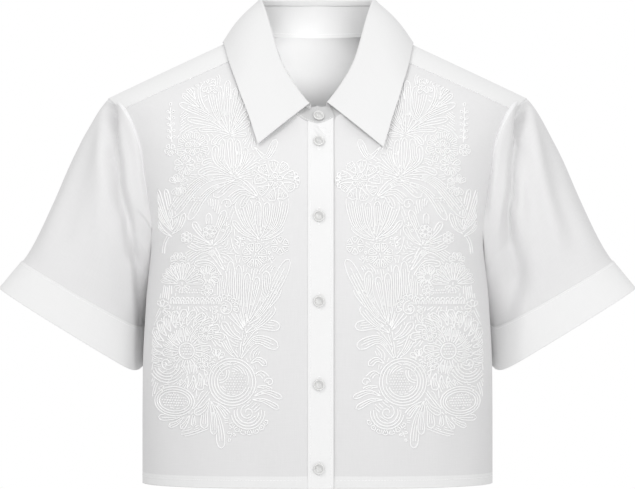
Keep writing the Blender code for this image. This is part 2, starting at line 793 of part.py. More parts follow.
def placket_normal(z):
    step = 4 * MM
    slope = form_point(0, z + step, "front") - form_point(0, z - step, "front")
    return Vector((1, 0, 0)).cross(slope).normalized()


def tree_of(pieces):
    """Search trees of the pieces' finished walls."""
    graph = bpy.context.evaluated_depsgraph_get()
    return [BVHTree.FromObject(piece, graph) for piece in pieces]


def main():
    for old in list(bpy.data.objects):
        bpy.data.objects.remove(old)
    shirt = bpy.data.collections.new("cropped_shirt")
    bpy.context.scene.collection.children.link(shirt)
    make_finishes()

    def front_hem(v):
        return is_hem(v, FRONT_ROWS)

    def back_hem(v):
        return is_hem(v, BACK_ROWS)

    fronts = [
        cloth(name, FRONT_COLUMNS, FRONT_ROWS, front_place(side), SINGLE_WALL, "voile_single", hem=front_hem)
        for name, side in (("front_right", -1), ("front_left", 1))
    ]
    cloth("back", BACK_COLUMNS, BACK_ROWS, back_place, SINGLE_WALL, "voile_single", hem=back_hem)
    yoke = cloth("yoke", 2 * YOKE_STEPS, YOKE_ROWS, yoke_place, SINGLE_WALL, "cotton_double")
    outer = placket_place(*OUTER_PLACKET, LAYER_STEP)
    inner = placket_place(*INNER_PLACKET, 0.0)
    outer_placket = cloth("placket_outer", LAP_STEPS, ROWS_TO_NECK, outer, DOUBLE_WALL, "cotton_double")
    cloth("placket_inner", LAP_STEPS, ROWS_TO_NECK, inner, DOUBLE_WALL, "cotton_double")
    stand = cloth("collar_stand", STAND_STEPS, STAND_ROWS, stand_place, DOUBLE_WALL, "cotton_double")
    bpy.context.view_layer.update()
    under = tree_of([*fronts, yoke, stand, outer_placket])
    cloth("collar_leaf", LEAF_STEPS, LEAF_ROWS, leaf_place(under), LEAF_WALL, "cotton_double")

    cuff_gap = SEAM_GAP / CUFF_DEPTH * (1 - CUFF_SHARE)
    for name, side in (("right", -1), ("left", 1)):
        body = sleeve_place(side, 0, CUFF_SHARE - cuff_gap)
        cloth(f"sleeve_{name}", SLEEVE_COLUMNS, SLEEVE_ROWS, body, SINGLE_WALL, "voile_single", closed=True)
        cuff = sleeve_place(side, CUFF_SHARE, 1)
        cloth(f"cuff_{name}", SLEEVE_COLUMNS, CUFF_ROWS, cuff, CUFF_WALL, "cotton_double", closed=True)

    for number, height in enumerate(BUTTON_HEIGHTS, 1):
        z = height * MM
        button(f"button_{number}", form_point(BUTTON_X, z, "front", LAYER_STEP), placket_normal(z))
    rise = stand_point(STAND_BUTTON_ANGLE, 1) - stand_point(STAND_BUTTON_ANGLE, 0)
    normal = Vector((1, 0, 0)).cross(rise).normalized()
    button("button_stand", stand_point(STAND_BUTTON_ANGLE, STAND_BUTTON_SHARE), normal)


main()
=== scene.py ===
# %% [markdown]
# # A cropped shirt in sheer white voile
#
# The real shirt is sewn from one light cotton cloth. A single layer of it is a little see-through and looks
# grey, and wherever it lies double, as on the yoke, bands, collar and cuffs, it looks whiter. It is shown
# filled out as if worn, with nobody in it. Its solids come from model.glb; the cloth made here lies on the
# same shapes.

import math
from bisect import bisect_right
from collections import namedtuple
from functools import lru_cache

import bmesh
import bpy
import numpy as np
from mathutils import Matrix, Vector, noise
from mathutils.bvhtree import BVHTree


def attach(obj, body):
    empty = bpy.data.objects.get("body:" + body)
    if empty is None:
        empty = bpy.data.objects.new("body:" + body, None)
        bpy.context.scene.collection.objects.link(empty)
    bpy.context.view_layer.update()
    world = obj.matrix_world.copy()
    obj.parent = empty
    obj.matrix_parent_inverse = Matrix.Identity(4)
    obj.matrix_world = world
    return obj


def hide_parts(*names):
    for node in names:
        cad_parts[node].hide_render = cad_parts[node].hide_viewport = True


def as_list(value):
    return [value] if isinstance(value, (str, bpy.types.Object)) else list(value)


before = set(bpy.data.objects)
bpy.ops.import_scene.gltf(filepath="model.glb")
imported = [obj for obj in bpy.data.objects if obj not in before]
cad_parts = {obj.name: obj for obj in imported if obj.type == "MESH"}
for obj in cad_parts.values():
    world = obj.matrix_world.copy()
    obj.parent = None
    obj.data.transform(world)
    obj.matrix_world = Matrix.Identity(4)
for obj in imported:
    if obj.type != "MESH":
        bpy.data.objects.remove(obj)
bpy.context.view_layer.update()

# %% [markdown]
# ## Curves through short tables
#
# Cloth has no edges to measure, only sizes here and there. A smooth curve through a few of them fills the
# rest. A cubic piece between each two rows passes through every row, and the curve never has a corner.

# %% Smooth curves
MM = 0.001


def mix(a, b, share):
    return a + (b - a) * share


def held(value, low=0.0, high=1.0):
    return min(max(value, low), high)


def smooth(share):
    """Rises from 0 to 1 with level ends."""
    share = held(share)
    return share * share * (3 - 2 * share)


def curve_through(keys, values):
    slopes = np.gradient(np.array(values, float), np.array(keys, float)).tolist()

    def at(key):
        key = held(key, keys[0], keys[-1])
        i = min(bisect_right(keys, key) - 1, len(keys) - 2)
        span = keys[i + 1] - keys[i]
        t = (key - keys[i]) / span
        rest = 1 - t
        ends = values[i] * (1 + 2 * t) * rest**2 + values[i + 1] * (3 - 2 * t) * t**2
        return ends + (slopes[i] * t * rest**2 - slopes[i + 1] * rest * t**2) * span

    return at


def table(columns, *rows):
    """Rows of values whose columns have names."""
    named = namedtuple("Row", columns)
    return [named(*row) for row in rows]


def column(rows, key, value, unit=MM):
    """The smooth function that reads one column of a table, its key in metres, shares or degrees."""
    key_unit = MM if key == "height" else 1
    return curve_through([getattr(r, key) * key_unit for r in rows], [getattr(r, value) * unit for r in rows])


print("a curve through 0, 1, 4:", round(curve_through([0, 1, 2], [0, 1, 4])(1.5), 3))

# %% [markdown]
# ## The body's shape
#
# A maker would pull the shirt over a form. Here the form is a formula: at each height a rounded section, which
# turns over the sloping shoulder line at the top. Every piece of the body, the buttons and the embroidery ask
# it for their places, so they always fit each other.

# %% The body's sizes
NECK_HALF = 70.0 * MM
NECK_POINT_Z = 2.0 * MM
SHOULDER_X = 220.0 * MM
SHOULDER_Z = -68.2 * MM
RIDGE_Y = -60.8 * MM
NECK_DROP = 99.0 * MM
NECK_PEAK = 20.0 * MM
NECK_ROUNDING = 1.25
NECK_AXIS_Y = RIDGE_Y - 10.0 * MM
ROLL_AT_NECK = 60.0 * MM
ROLL_AT_SHOULDER = 30.0 * MM
SECTION_POWER = 2.4
HEM_Z = -470.0 * MM
HEM_DEPTH = 9.0 * MM
UNDERARM_Z = -221.0 * MM
BREAK_Z = -190.0 * MM

SECTIONS = table(
    "height half_width front_depth back_depth",
    (-470, 183.5, 116, 104), (-371, 183.3, 121, 103), (-345, 183.0, 122, 103), (-279, 179.5, 126, 104),
    (-221, 176.0, 128, 106), (-190, 181.0, 128, 107), (-151, 190.0, 126, 108), (-121, 200.0, 114, 107),
    (-95, 213.0, 99, 104), (-68, 227.0, 87, 98), (-29, 231.0, 62, 90), (0, 233.0, 50, 80),
    (40, 235.0, 44, 68),
)
half_width = column(SECTIONS, "height", "half_width")
front_depth = column(SECTIONS, "height", "front_depth")
back_depth = column(SECTIONS, "height", "back_depth")
chest = 2 * half_width(-0.25), front_depth(-0.25) + back_depth(-0.25)
print("chest:", [round(size, 3) for size in chest], "m wide and deep")

# %% [markdown]
# Worn cloth is never quite smooth. Long shallow troughs run up from the hem and in from the underarms. Each is
# a soft valley along a line, drawn with a bell curve across it, and a little noise makes them uneven.

# %% Soft drapes on the body
DRAPES = table(
    "face x_0 z_0 x_1 z_1 depth width",
    ("front", -158, -236, -112, -330, 1.5, 17), ("front", -166, -300, -138, -455, 1.3, 14),
    ("front", -58, -395, -62, -470, 1.4, 16), ("front", 60, -300, 40, -470, 1.6, 14),
    ("front", 160, -240, 108, -318, 1.4, 17), ("front", 168, -318, 140, -462, 1.5, 15),
    ("front", 100, -400, 108, -470, 1.2, 17), ("front", -184, -118, -140, -168, 1.0, 12),
    ("front", 182, -116, 142, -172, 1.1, 12), ("back", -150, -225, -90, -330, 2.2, 20),
    ("back", 152, -220, 96, -345, 2.4, 20), ("back", -100, -150, -92, -300, 1.6, 18),
    ("back", 84, -140, 96, -290, 1.8, 18), ("back", -44, -330, -50, -470, 2.2, 20),
    ("back", 30, -300, 38, -470, 2.0, 22), ("back", 130, -360, 122, -470, 1.8, 18),
    ("back", -140, -370, -128, -470, 1.8, 18),
)
UNEVEN = 0.5 * MM
UNEVEN_SIZE = 38.0 * MM
UNEVEN_LAYER = {"front": 0.3, "back": 0.9}
DRAPE_REACH = 120
DRAPE_FADE = 60.0 * MM
TROUGH_ENDS = 0.35
TROUGH_SPAN = (0.1, 0.9)


def trough(here, start, end, width):
    """1 along the line from start to end, falling to 0 beside it and towards its ends."""
    run = end - start
    share = held((here - start).dot(run) / run.length_squared)
    away = (here - start - run * share).length / width
    strength = mix(TROUGH_ENDS, 1, math.sin(math.pi * mix(*TROUGH_SPAN, share)))
    return math.exp(-away * away) * strength


def drape(x, z, face):
    """How far the drapes move the cloth out, less and less up to the shoulder."""
    here = Vector((x, z)) / MM
    total = UNEVEN * noise.noise(Vector((x, z, UNEVEN_LAYER[face])) / UNEVEN_SIZE)
    for row in DRAPES:
        if row.face == face and abs(row.x_0 - here.x) < DRAPE_REACH:
            ends = Vector((row.x_0, row.z_0)), Vector((row.x_1, row.z_1))
            total -= row.depth * MM * trough(here, *ends, row.width)
    return total * smooth((-DRAPE_FADE - z) / DRAPE_FADE)


print("drapes:", len(DRAPES), "deepest", max(row.depth for row in DRAPES), "mm")

# %% The body's outer face


def ridge_height(x):
    """Height of the shoulder line at x, carried on over the neck hole as a low hump."""
    out = abs(x)
    if out < NECK_HALF:
        return NECK_POINT_Z + NECK_PEAK * (1 - (out / NECK_HALF) ** 2)
    slope = (NECK_POINT_Z - SHOULDER_Z) / (SHOULDER_X - NECK_HALF)
    return NECK_POINT_Z - slope * (out - NECK_HALF)


def roll_radius(x):
    """Radius of the cloth's turn over the shoulder line."""
    return mix(ROLL_AT_NECK, ROLL_AT_SHOULDER, held((abs(x) - NECK_HALF) / (SHOULDER_X - NECK_HALF)))


def form_point(x, z, face, proud=0.0):
    """The body's outer face at x and z, on its front or its back."""
    reach = front_depth(z) if face == "front" else back_depth(z)
    share = min(abs(x) / half_width(z), 1)
    bulge = (1 - share**SECTION_POWER) ** (1 / SECTION_POWER)
    drop = min(max(ridge_height(x) - z, 0) / roll_radius(x), 1)
    depth = (reach * bulge + drape(x, z, face) * bulge**0.5) * math.sqrt(1 - (1 - drop) ** 2) + proud
    return Vector((x, RIDGE_Y + (depth if face == "back" else -depth), z))


def run_over_shoulder(x, z, face):
    """The distance along the cloth from the shoulder line, for a place given by its height."""
    radius = roll_radius(x)
    drop = max(ridge_height(x) - z, 0)
    run = radius * math.acos(1 - drop / radius) if drop < radius else radius * math.pi / 2 + drop - radius
    return run if face == "back" else -run


def form_over(x, along, proud=0.0):
    """The body's outer face at a distance along the cloth from the shoulder line, front negative."""
    radius = roll_radius(x)
    quarter = radius * math.pi / 2
    run = abs(along)
    drop = radius * (1 - math.cos(run / radius)) if run < quarter else radius + run - quarter
    point = form_point(x, ridge_height(x) - drop, "back" if along > 0 else "front")
    turn = min(run / radius, math.pi / 2)
    return point + proud * Vector((0, math.copysign(math.sin(turn), along), math.cos(turn)))


def section_angle(x, width):
    """Where x lies round the body's rounded section, as an angle from 0 at the centre."""
    return math.asin(min(abs(x) / width, 1) ** (SECTION_POWER / 2))


def section_x(angle, width):
    """The distance from the centre at an angle round the section."""
    return width * math.sin(angle) ** (2 / SECTION_POWER)


print("front at the chest:", [round(c, 3) for c in form_point(0.05, -0.25, "front")])

# %% [markdown]
# ## The seam lines
#
# A shirt's pieces meet along a few lines: the armhole, the neckline, the yoke's front and back seams. The
# armhole is a short table, and the neckline an oval that dips at the front. Both are walked by a share or an
# angle, so that two pieces that meet can step along the same line.

# %% Armhole and neckline
ARMHOLE_FRONT = table(
    "share height angle",
    (0.000, -221.0, 90.0), (0.130, -217.0, 80.0), (0.212, -206.0, 73.1), (0.317, -182.0, 70.9),
    (0.445, -153.0, 68.3), (0.626, -111.4, 62.8), (0.700, -95.0, 61.8), (0.778, -80.0, 62.4),
    (1.000, -68.2, 74.2),
)
ARMHOLE_BACK = table(
    "share height angle",
    (0.000, -221.0, 90.0), (0.110, -217.0, 80.0), (0.190, -203.0, 74.0), (0.336, -171.0, 70.0),
    (0.518, -131.0, 66.0), (0.695, -93.0, 63.5), (0.805, -76.0, 65.0), (1.000, -68.2, 74.2),
)
ARMHOLES = {
    face: (column(rows, "share", "height"), column(rows, "share", "angle", 1))
    for face, rows in (("front", ARMHOLE_FRONT), ("back", ARMHOLE_BACK))
}


def armhole_place(face, share):
    """(distance from the centre, height) of the armhole seam."""
    height, angle = ARMHOLES[face]
    z = height(share)
    return section_x(math.radians(angle(share)), half_width(z)), z


def neckline_place(angle):
    """(distance from the centre, height, face) of the neckline, its angle from the centre front."""
    flat, down = abs(math.sin(math.radians(angle))), abs(math.cos(math.radians(angle)))
    if angle <= 90:
        return NECK_HALF * flat**NECK_ROUNDING, NECK_POINT_Z - NECK_DROP * down**NECK_ROUNDING, "front"
    return NECK_HALF * flat, NECK_POINT_Z * (1 - down), "back"


def neckline_angle(x):
    """The angle, up to 90, at which the neckline is at x."""
    return math.degrees(math.asin((abs(x) / NECK_HALF) ** (1 / NECK_ROUNDING)))


def neckline_point(angle):
    """The neckline all round: 0 is the centre front, 90 the wearer's left, 180 the nape and 360 the front."""
    turned = angle % 360
    side = 1 if turned <= 180 else -1
    x, z, face = neckline_place(turned if side > 0 else 360 - turned)
    return form_point(side * x, z, face)


print("shoulder point:", [round(c, 3) for c in armhole_place("front", 1)])

# %% [markdown]
# ## Cloth from a grid
#
# Each piece is an even grid, as woven cloth is, whose points are moved to their places on the form. The grid's
# UV map counts metres of flat cloth, so that a weave or a hem in the material has its real size. A Solidify
# modifier then gives the cloth its thickness. One narrow step along every edge keeps the smooth shading from
# turning too early there.

# %% The cloth maker
SINGLE = 0.5 * MM
DOUBLE = 1.0 * MM
EDGE_STEP = 0.7 * MM
MERGE_REACH = 0.02 * MM


def add_object(name, data):
    made = bpy.data.objects.new(name, data)
    bpy.context.scene.collection.objects.link(made)
    return made


def mesh_from(name, source):
    """The finished mesh of a bmesh."""
    mesh = bpy.data.meshes.new(name)
    source.to_mesh(mesh)
    source.free()
    return mesh


def add_piece(name, source, finish, replaced=None):
    mesh = mesh_from(name, source)
    mesh.shade_smooth()
    mesh.materials.append(bpy.data.materials.get(finish) or bpy.data.materials.new(finish))
    piece = add_object(name, mesh)
    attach(piece, "root")
    if replaced:
        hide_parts(replaced)
    return piece


def edged(share, steps, edge):
    """Moves the second and the second last grid line close to the cloth's edges."""
    step = round(share * steps)
    if step == 1:
        return edge
    return 1 - edge if step == steps - 1 else share


def cloth(name, steps, flat, place, wall=SINGLE, finish="voile_single", replaced=None, closed=False, rounds=0):
    """One piece of cloth with a grid's steps and a flat size in metres. place(u, v) gives its outer face."""
    grid = bmesh.new()
    bmesh.ops.create_grid(grid, x_segments=steps[0], y_segments=steps[1], size=0.5)
    uv_map = grid.loops.layers.uv.new("cloth")
    for vert in grid.verts:
        u, v = vert.co.x + 0.5, vert.co.y + 0.5
        u = u if closed else edged(u, steps[0], EDGE_STEP / flat[0])
        v = edged(v, steps[1], EDGE_STEP / flat[1])
        for loop in vert.link_loops:
            loop[uv_map].uv = (u * flat[0], v * flat[1])
        vert.co = place(u, v)
    if closed:
        bmesh.ops.remove_doubles(grid, verts=grid.verts, dist=MERGE_REACH)
    inner = [vert for vert in grid.verts if not vert.is_boundary]
    for _ in range(rounds):
        bmesh.ops.smooth_vert(grid, verts=inner, factor=0.5, use_axis_x=True, use_axis_y=True, use_axis_z=True)
    piece = add_piece(name, grid, finish, replaced)
    solidify = piece.modifiers.new("Wall", "SOLIDIFY")
    solidify.thickness = wall
    solidify.offset = -1
    return piece


print("cloth walls:", SINGLE / MM, "and", DOUBLE / MM, "mm")

# %% [markdown]
# ## The fronts
#
# Each front is one panel from the hem to the yoke seam. The wearer's right front laps over the left one, so it
# stands a little further out near the opening. Under the yoke the panels run a few millimetres on, as seam
# allowances do, so no gap can show. The hem is turned twice, so it stands out as a step, which fades to
# nothing at the side seam, where front and back meet.

# %% The fronts' rows
HANDS = (("right", -1), ("left", 1))
LAYER_STEP = 1.3 * MM
PROUD_REACH = 60.0 * MM
PLACKET_LEFT = -10.0 * MM
PLACKET_RIGHT = 16.5 * MM
INNER_PLACKET = (-9.6 * MM, 13.0 * MM)
TUCK = 3.0 * MM
TUCK_ROWS = 30
YOKE_NECK_ANGLE = neckline_angle(66.0 * MM)
YOKE_FRONT_SHARE = 14 / 18
YOKE_BACK_SHARE = 13 / 18
YOKE_BACK_Z = -90.0 * MM
UNDERARM_ROW = 0.44
NECK_ROW = 0.76
HEM_PROUD = 0.5 * MM
HEM_STEP = 1.2 * MM
SIDE_FADE = 25.0


def tucked_up(z, v):
    """The height of a place on a row, the top row drawn on under the yoke."""
    return z + TUCK * smooth(v * TUCK_ROWS - TUCK_ROWS + 1)


def proud_of(x, side):
    """How far the wearer's right front stands out, to lap over the left one."""
    return 0.0 if side > 0 else LAYER_STEP * smooth(1 - (abs(x) + PLACKET_LEFT) / PROUD_REACH)


def opening_height(row, top):
    """Height of a row at the opening: 0 is the hem, the underarm row the break, and 1 the neckline."""
    if row <= UNDERARM_ROW / NECK_ROW:
        return mix(HEM_Z, BREAK_Z, row * NECK_ROW / UNDERARM_ROW)
    return mix(BREAK_Z, top, (row * NECK_ROW - UNDERARM_ROW) / (NECK_ROW - UNDERARM_ROW))


def front_row(side, v):
    """(inner x, inner z, outer x, outer z) of a row of a front panel."""
    if v <= UNDERARM_ROW:
        outer_z = mix(HEM_Z, UNDERARM_Z, v / UNDERARM_ROW)
        outer_x = half_width(outer_z)
    else:
        outer_x, outer_z = armhole_place("front", (v - UNDERARM_ROW) / (1 - UNDERARM_ROW) * YOKE_FRONT_SHARE)
    edge = (INNER_PLACKET[1] if side > 0 else -PLACKET_LEFT) - TUCK
    turn = mix(neckline_angle(edge), YOKE_NECK_ANGLE, held((v - NECK_ROW) / (1 - NECK_ROW)))
    inner_x, neck_z, _ = neckline_place(turn)
    return inner_x, opening_height(v / NECK_ROW, neck_z) if v < NECK_ROW else neck_z, outer_x, outer_z


def along_row(row, share):
    """(x, z) at a share of the way along a row, evenly spaced round the body's section."""
    inner_x, inner_z, outer_x, outer_z = row
    width = max(half_width(outer_z), outer_x)
    x = section_x(mix(section_angle(inner_x, width), section_angle(outer_x, width), share), width)
    return x, mix(inner_z, outer_z, (x - inner_x) / (outer_x - inner_x))


def hem_lift(z, share):
    """How far the turned hem stands out, down to nothing at the side seam, where the share is 1."""
    return HEM_PROUD * (1 - smooth((z - HEM_Z - HEM_DEPTH) / HEM_STEP + 1)) * smooth((1 - share) * SIDE_FADE)


def front_place(side):
    """The place function of a front: u runs across it, v from the hem to the yoke seam."""

    def place(u, v):
        share = u if side > 0 else 1 - u
        x, z = along_row(front_row(side, v), share)
        proud = proud_of(x, side) + hem_lift(z, share)
        point = form_point(side * x, tucked_up(z, v), "front", proud)
        if v <= UNDERARM_ROW:
            point.y = min(point.y, RIDGE_Y)
        return point

    return place


fronts = {}
for hand, side in HANDS:
    fronts[hand] = cloth(
        f"front_{hand}_cloth", (78, 176), (0.205, 0.44), front_place(side), replaced=f"front_{hand}"
    )
print("fronts:", [len(front.data.vertices) for front in fronts.values()], "points")

# %% [markdown]
# ## The back and the yoke
#
# The back hangs from the yoke, a double piece that lies over both shoulders and ends a hand's width down the
# back and a finger's width down the front. The yoke is walked round the neck: its inner edge steps along the
# neckline while its outer edge goes down the front seam, along the armholes and across the back.

# %% The back


def back_place(u, v):
    side = 1 if u < 0.5 else -1
    share = abs(1 - 2 * u)
    if v <= UNDERARM_ROW:
        z = mix(HEM_Z, UNDERARM_Z, v / UNDERARM_ROW)
        row = (0.0, z, half_width(z), z)
    else:
        climb = (v - UNDERARM_ROW) / (1 - UNDERARM_ROW)
        x, z = armhole_place("back", climb * YOKE_BACK_SHARE)
        row = (0.0, mix(UNDERARM_Z, YOKE_BACK_Z, climb), x, z)
    x, z = along_row(row, share)
    return form_point(side * x, tucked_up(z, v), "back", hem_lift(z, share))


back = cloth("back_cloth", (140, 150), (0.5, 0.4), back_place, replaced="back")
print("back:", len(back.data.vertices), "points")

# %% The yoke
YOKE_PROUD = 0.7 * MM
YOKE_CORNER_ANGLE = 112.0
YOKE_STOPS = (0, 0.19, 0.43, 1)


def yoke_outer_place(step):
    """(distance from the centre, height, face) of the yoke's front corner, armhole edge and back seam."""
    front_stop, corner_stop = YOKE_STOPS[1:3]
    if step <= front_stop:
        return *armhole_place("front", mix(YOKE_FRONT_SHARE, 1, step / front_stop)), "front"
    if step <= corner_stop:
        share = (step - front_stop) / (corner_stop - front_stop)
        return *armhole_place("back", mix(1, YOKE_BACK_SHARE, share)), "back"
    corner_x, corner_z = armhole_place("back", YOKE_BACK_SHARE)
    share = (step - corner_stop) / (1 - corner_stop)
    return *along_row((0.0, YOKE_BACK_Z, corner_x, corner_z), 1 - share), "back"


def yoke_place(u, v):
    side = 1 if u < 0.5 else -1
    step = 1 - abs(1 - 2 * u)
    angle = float(np.interp(step, YOKE_STOPS, (YOKE_NECK_ANGLE, 90, YOKE_CORNER_ANGLE, 180)))
    x_in, z_in, face_in = neckline_place(angle)
    x_out, z_out, face_out = yoke_outer_place(step)
    x = mix(x_out, x_in, v)
    run_in, run_out = run_over_shoulder(x_in, z_in, face_in), run_over_shoulder(x_out, z_out, face_out)
    over_run = mix(run_out, run_in, v)
    if step < YOKE_STOPS[1]:
        corner_x, corner_z = armhole_place("front", YOKE_FRONT_SHARE)
        neck_x, neck_z, _ = neckline_place(YOKE_NECK_ANGLE)
        seam_z = mix(neck_z, corner_z, held((x - neck_x) / (corner_x - neck_x)))
        seam_run = run_over_shoulder(x, seam_z, "front")
        over_run = mix(seam_run, over_run, smooth(step / YOKE_STOPS[1]))
    return form_over(side * x, over_run, YOKE_PROUD)


yoke = cloth("yoke_cloth", (240, 44), (0.66, 0.13), yoke_place, DOUBLE, "voile_double", "yoke")
print("yoke:", len(yoke.data.vertices), "points")

# %% [markdown]
# ## The front bands
#
# The two bands carry the buttons and the buttonholes. Each is a long strip of double cloth, sewn to its front
# along one side. The outer band ends in a free edge, whose small step throws the shadow line down the front.
# Under the collar the lap pulls one short slanting crease into it: a groove, with a ridge along its low side.

# %% The front bands
BAND_PROUD = 0.8 * MM
CREASES = table(
    "start end depth width",
    (Vector((1.0, -100.5)), Vector((10.0, -109.0)), 2.6 * MM, 2.4),
    (Vector((-3.0, -101.5)), Vector((5.5, -110.8)), -2.8 * MM, 2.2),
)


def band_place(left, right, proud, creases):
    """The place function of a band between two edges, its creases pressed in."""

    def place(u, v):
        angle = mix(-neckline_angle(left), neckline_angle(right), u)
        x, top, _ = neckline_place(abs(angle))
        x = math.copysign(x, angle)
        z = opening_height(v, top)
        here = Vector((x, z)) / MM
        pulled = sum(row.depth * trough(here, row.start, row.end, row.width) for row in creases)
        return form_point(x, z, "front", proud - pulled)

    return place


outer_place = band_place(PLACKET_LEFT, PLACKET_RIGHT, LAYER_STEP + BAND_PROUD, CREASES)
outer_band = cloth(
    "outer_band", (24, 270), (0.0265, 0.375), outer_place, DOUBLE, "voile_double", "placket_outer"
)
inner_place = band_place(*INNER_PLACKET, BAND_PROUD, ())
inner_band = cloth(
    "inner_band", (12, 120), (0.0226, 0.375), inner_place, DOUBLE, "voile_double", "placket_inner"
)
print("bands:", [round(c / MM, 1) for c in outer_place(1, 0.5)], "is the outer one's free edge, halfway up")

# %% [markdown]
# ## The collar
#
# A shirt collar is two pieces: a stand that rises from the neckline and laps at the front, and a leaf that
# rolls over the stand's top and comes down to two points. The stand is walked round the neck by its angle. The
# leaf starts inside the stand, rolls over it in a half turn, and runs down to an edge given by a short table.
# A ray towards the cloth below finds what lies under each point, and lifts the leaf to rest on it.

# %% The stand
STAND = table(
    "angle rise lean",
    (0, 18.3, 12), (14, 15, 14), (30, 19.5, 16), (45, 23.5, 17), (60, 25.5, 18), (80, 29, 14), (90, 30, 11),
    (120, 33, 7), (180, 36, 4),
)
STAND_UPPER_LAP = (17.5 * MM, 9.5 * MM)
STAND_UNDER_LAP = (-13.0 * MM, -9.0 * MM)
LAP_CLEAR_ANGLE = 20.0
LAP_ROUND = 0.98
RIGHT_FRONT_ANGLE = 270.0
STAND_SUNK = 1.2 * MM
STAND_LENGTH = 0.41
stand_rise = column(STAND, "angle", "rise")
stand_lean = column(STAND, "angle", "lean")


def folded_angle(angle):
    """An angle round the neck as if on the wearer's left: 0 is the front and 180 the nape."""
    return min(angle % 360, 360 - angle % 360)


def stand_point(angle, up):
    """The stand's outer face, from the neckline seam at 0 to its top edge at 1."""
    folded = folded_angle(angle)
    base = neckline_point(angle)
    inward = Vector((-base.x, NECK_AXIS_Y - base.y, 0)).normalized()
    lap = held((angle - LAP_CLEAR_ANGLE) / (360 - 2 * LAP_CLEAR_ANGLE))
    rise = Vector((0, 0, stand_rise(folded))) + inward * stand_lean(folded)
    leaving = rise.normalized()
    outward = (neckline_point(angle + 1) - neckline_point(angle - 1)).cross(leaving).normalized()
    sewn = -STAND_SUNK * (1 - up)
    if angle > RIGHT_FRONT_ANGLE:
        sewn -= proud_of(min(base.x, 0), -1) * leaving.y
    return base + outward * LAYER_STEP * lap + leaving * sewn + rise * up


def stand_place(u, v):
    rounded = 1 - math.sqrt(1 - LAP_ROUND * v * v)
    upper, under = (neckline_angle(mix(*ends, rounded)) for ends in (STAND_UPPER_LAP, STAND_UNDER_LAP))
    return stand_point(mix(-under, 360 + upper, u), v)


# the stand's material paints shade on its two front ends, under the leaf
stand = cloth(
    "collar_stand_cloth", (250, 14), (STAND_LENGTH, 0.03), stand_place, DOUBLE, "voile_stand", "collar_stand"
)
print("stand's top at the nape:", round(stand_point(180, 1).z / MM, 1), "mm above the seam")

# %% The leaf
LEAF_EDGE = table(
    "angle out left_more along",
    (10, 61, 6.5, -160), (35, 69, 6.0, -131), (60, 80.5, 4.5, -92), (80, 93, 2.5, -42), (92, 97.5, 1.0, 0),
    (105, 94, 0.0, 20), (125, 80, 0.0, 38), (150, 49, 0.0, 55), (180, 0, 0.0, 65),
)
LEAF_START = (neckline_angle(11.0 * MM), 360 - neckline_angle(8.0 * MM))
LEAF_CLEARANCE = 3.2 * MM
LEAF_FRONT_CLEARANCE = 6.0 * MM
LEAF_STANDOFF = 2.2 * MM
LEAF_BULGE = 3.0 * MM
LEAF_WALL = 1.1 * MM
LEAF_LIFT = 0.35
LEAF_SHOULDER_ANGLES = (60.0, 80.0, 105.0, 120.0)
LEAF_REACH = 80.0 * MM
ROLL_HEIGHT = 2.6 * MM
ROLL_OUT = 2.5 * MM
ROLL_OUT_FRONT = 7.5 * MM
ROLL_DROP = 0.7
ROLL_GAP = 1.3 * MM
ROLL_EASE = (20, 60)
ROLLED = 0.2
START_DOWN = 4.0 * MM
START_SHARE = 4
START_INSIDE = DOUBLE + 0.6 * MM
FRONT_AWAY = Vector((0, -1, 0.1))
LEAF_FACING = (30.0, 75.0)
leaf_out = column(LEAF_EDGE, "angle", "out")
leaf_left_more = column(LEAF_EDGE, "angle", "left_more")
leaf_along = column(LEAF_EDGE, "angle", "along")


def outermost(point, outward, under):
    """How far out along a direction the pieces below a point reach, or None."""
    start = point + outward * LEAF_REACH
    hits = [tree.ray_cast(start, -outward, 2 * LEAF_REACH)[0] for tree in under]
    return max(((hit - point).dot(outward) for hit in hits if hit is not None), default=None)


def leaf_rest(angle):
    """The place on the body that the leaf's outer edge lies over."""
    side = 1 if angle < 180 else -1
    start = LEAF_START[0] if side > 0 else 360 - LEAF_START[1]
    folded = mix(LEAF_EDGE[0].angle, 180, (folded_angle(angle) - start) / (180 - start))
    out = leaf_out(folded) + (leaf_left_more(folded) if side > 0 else 0)
    return form_over(side * out, leaf_along(folded))


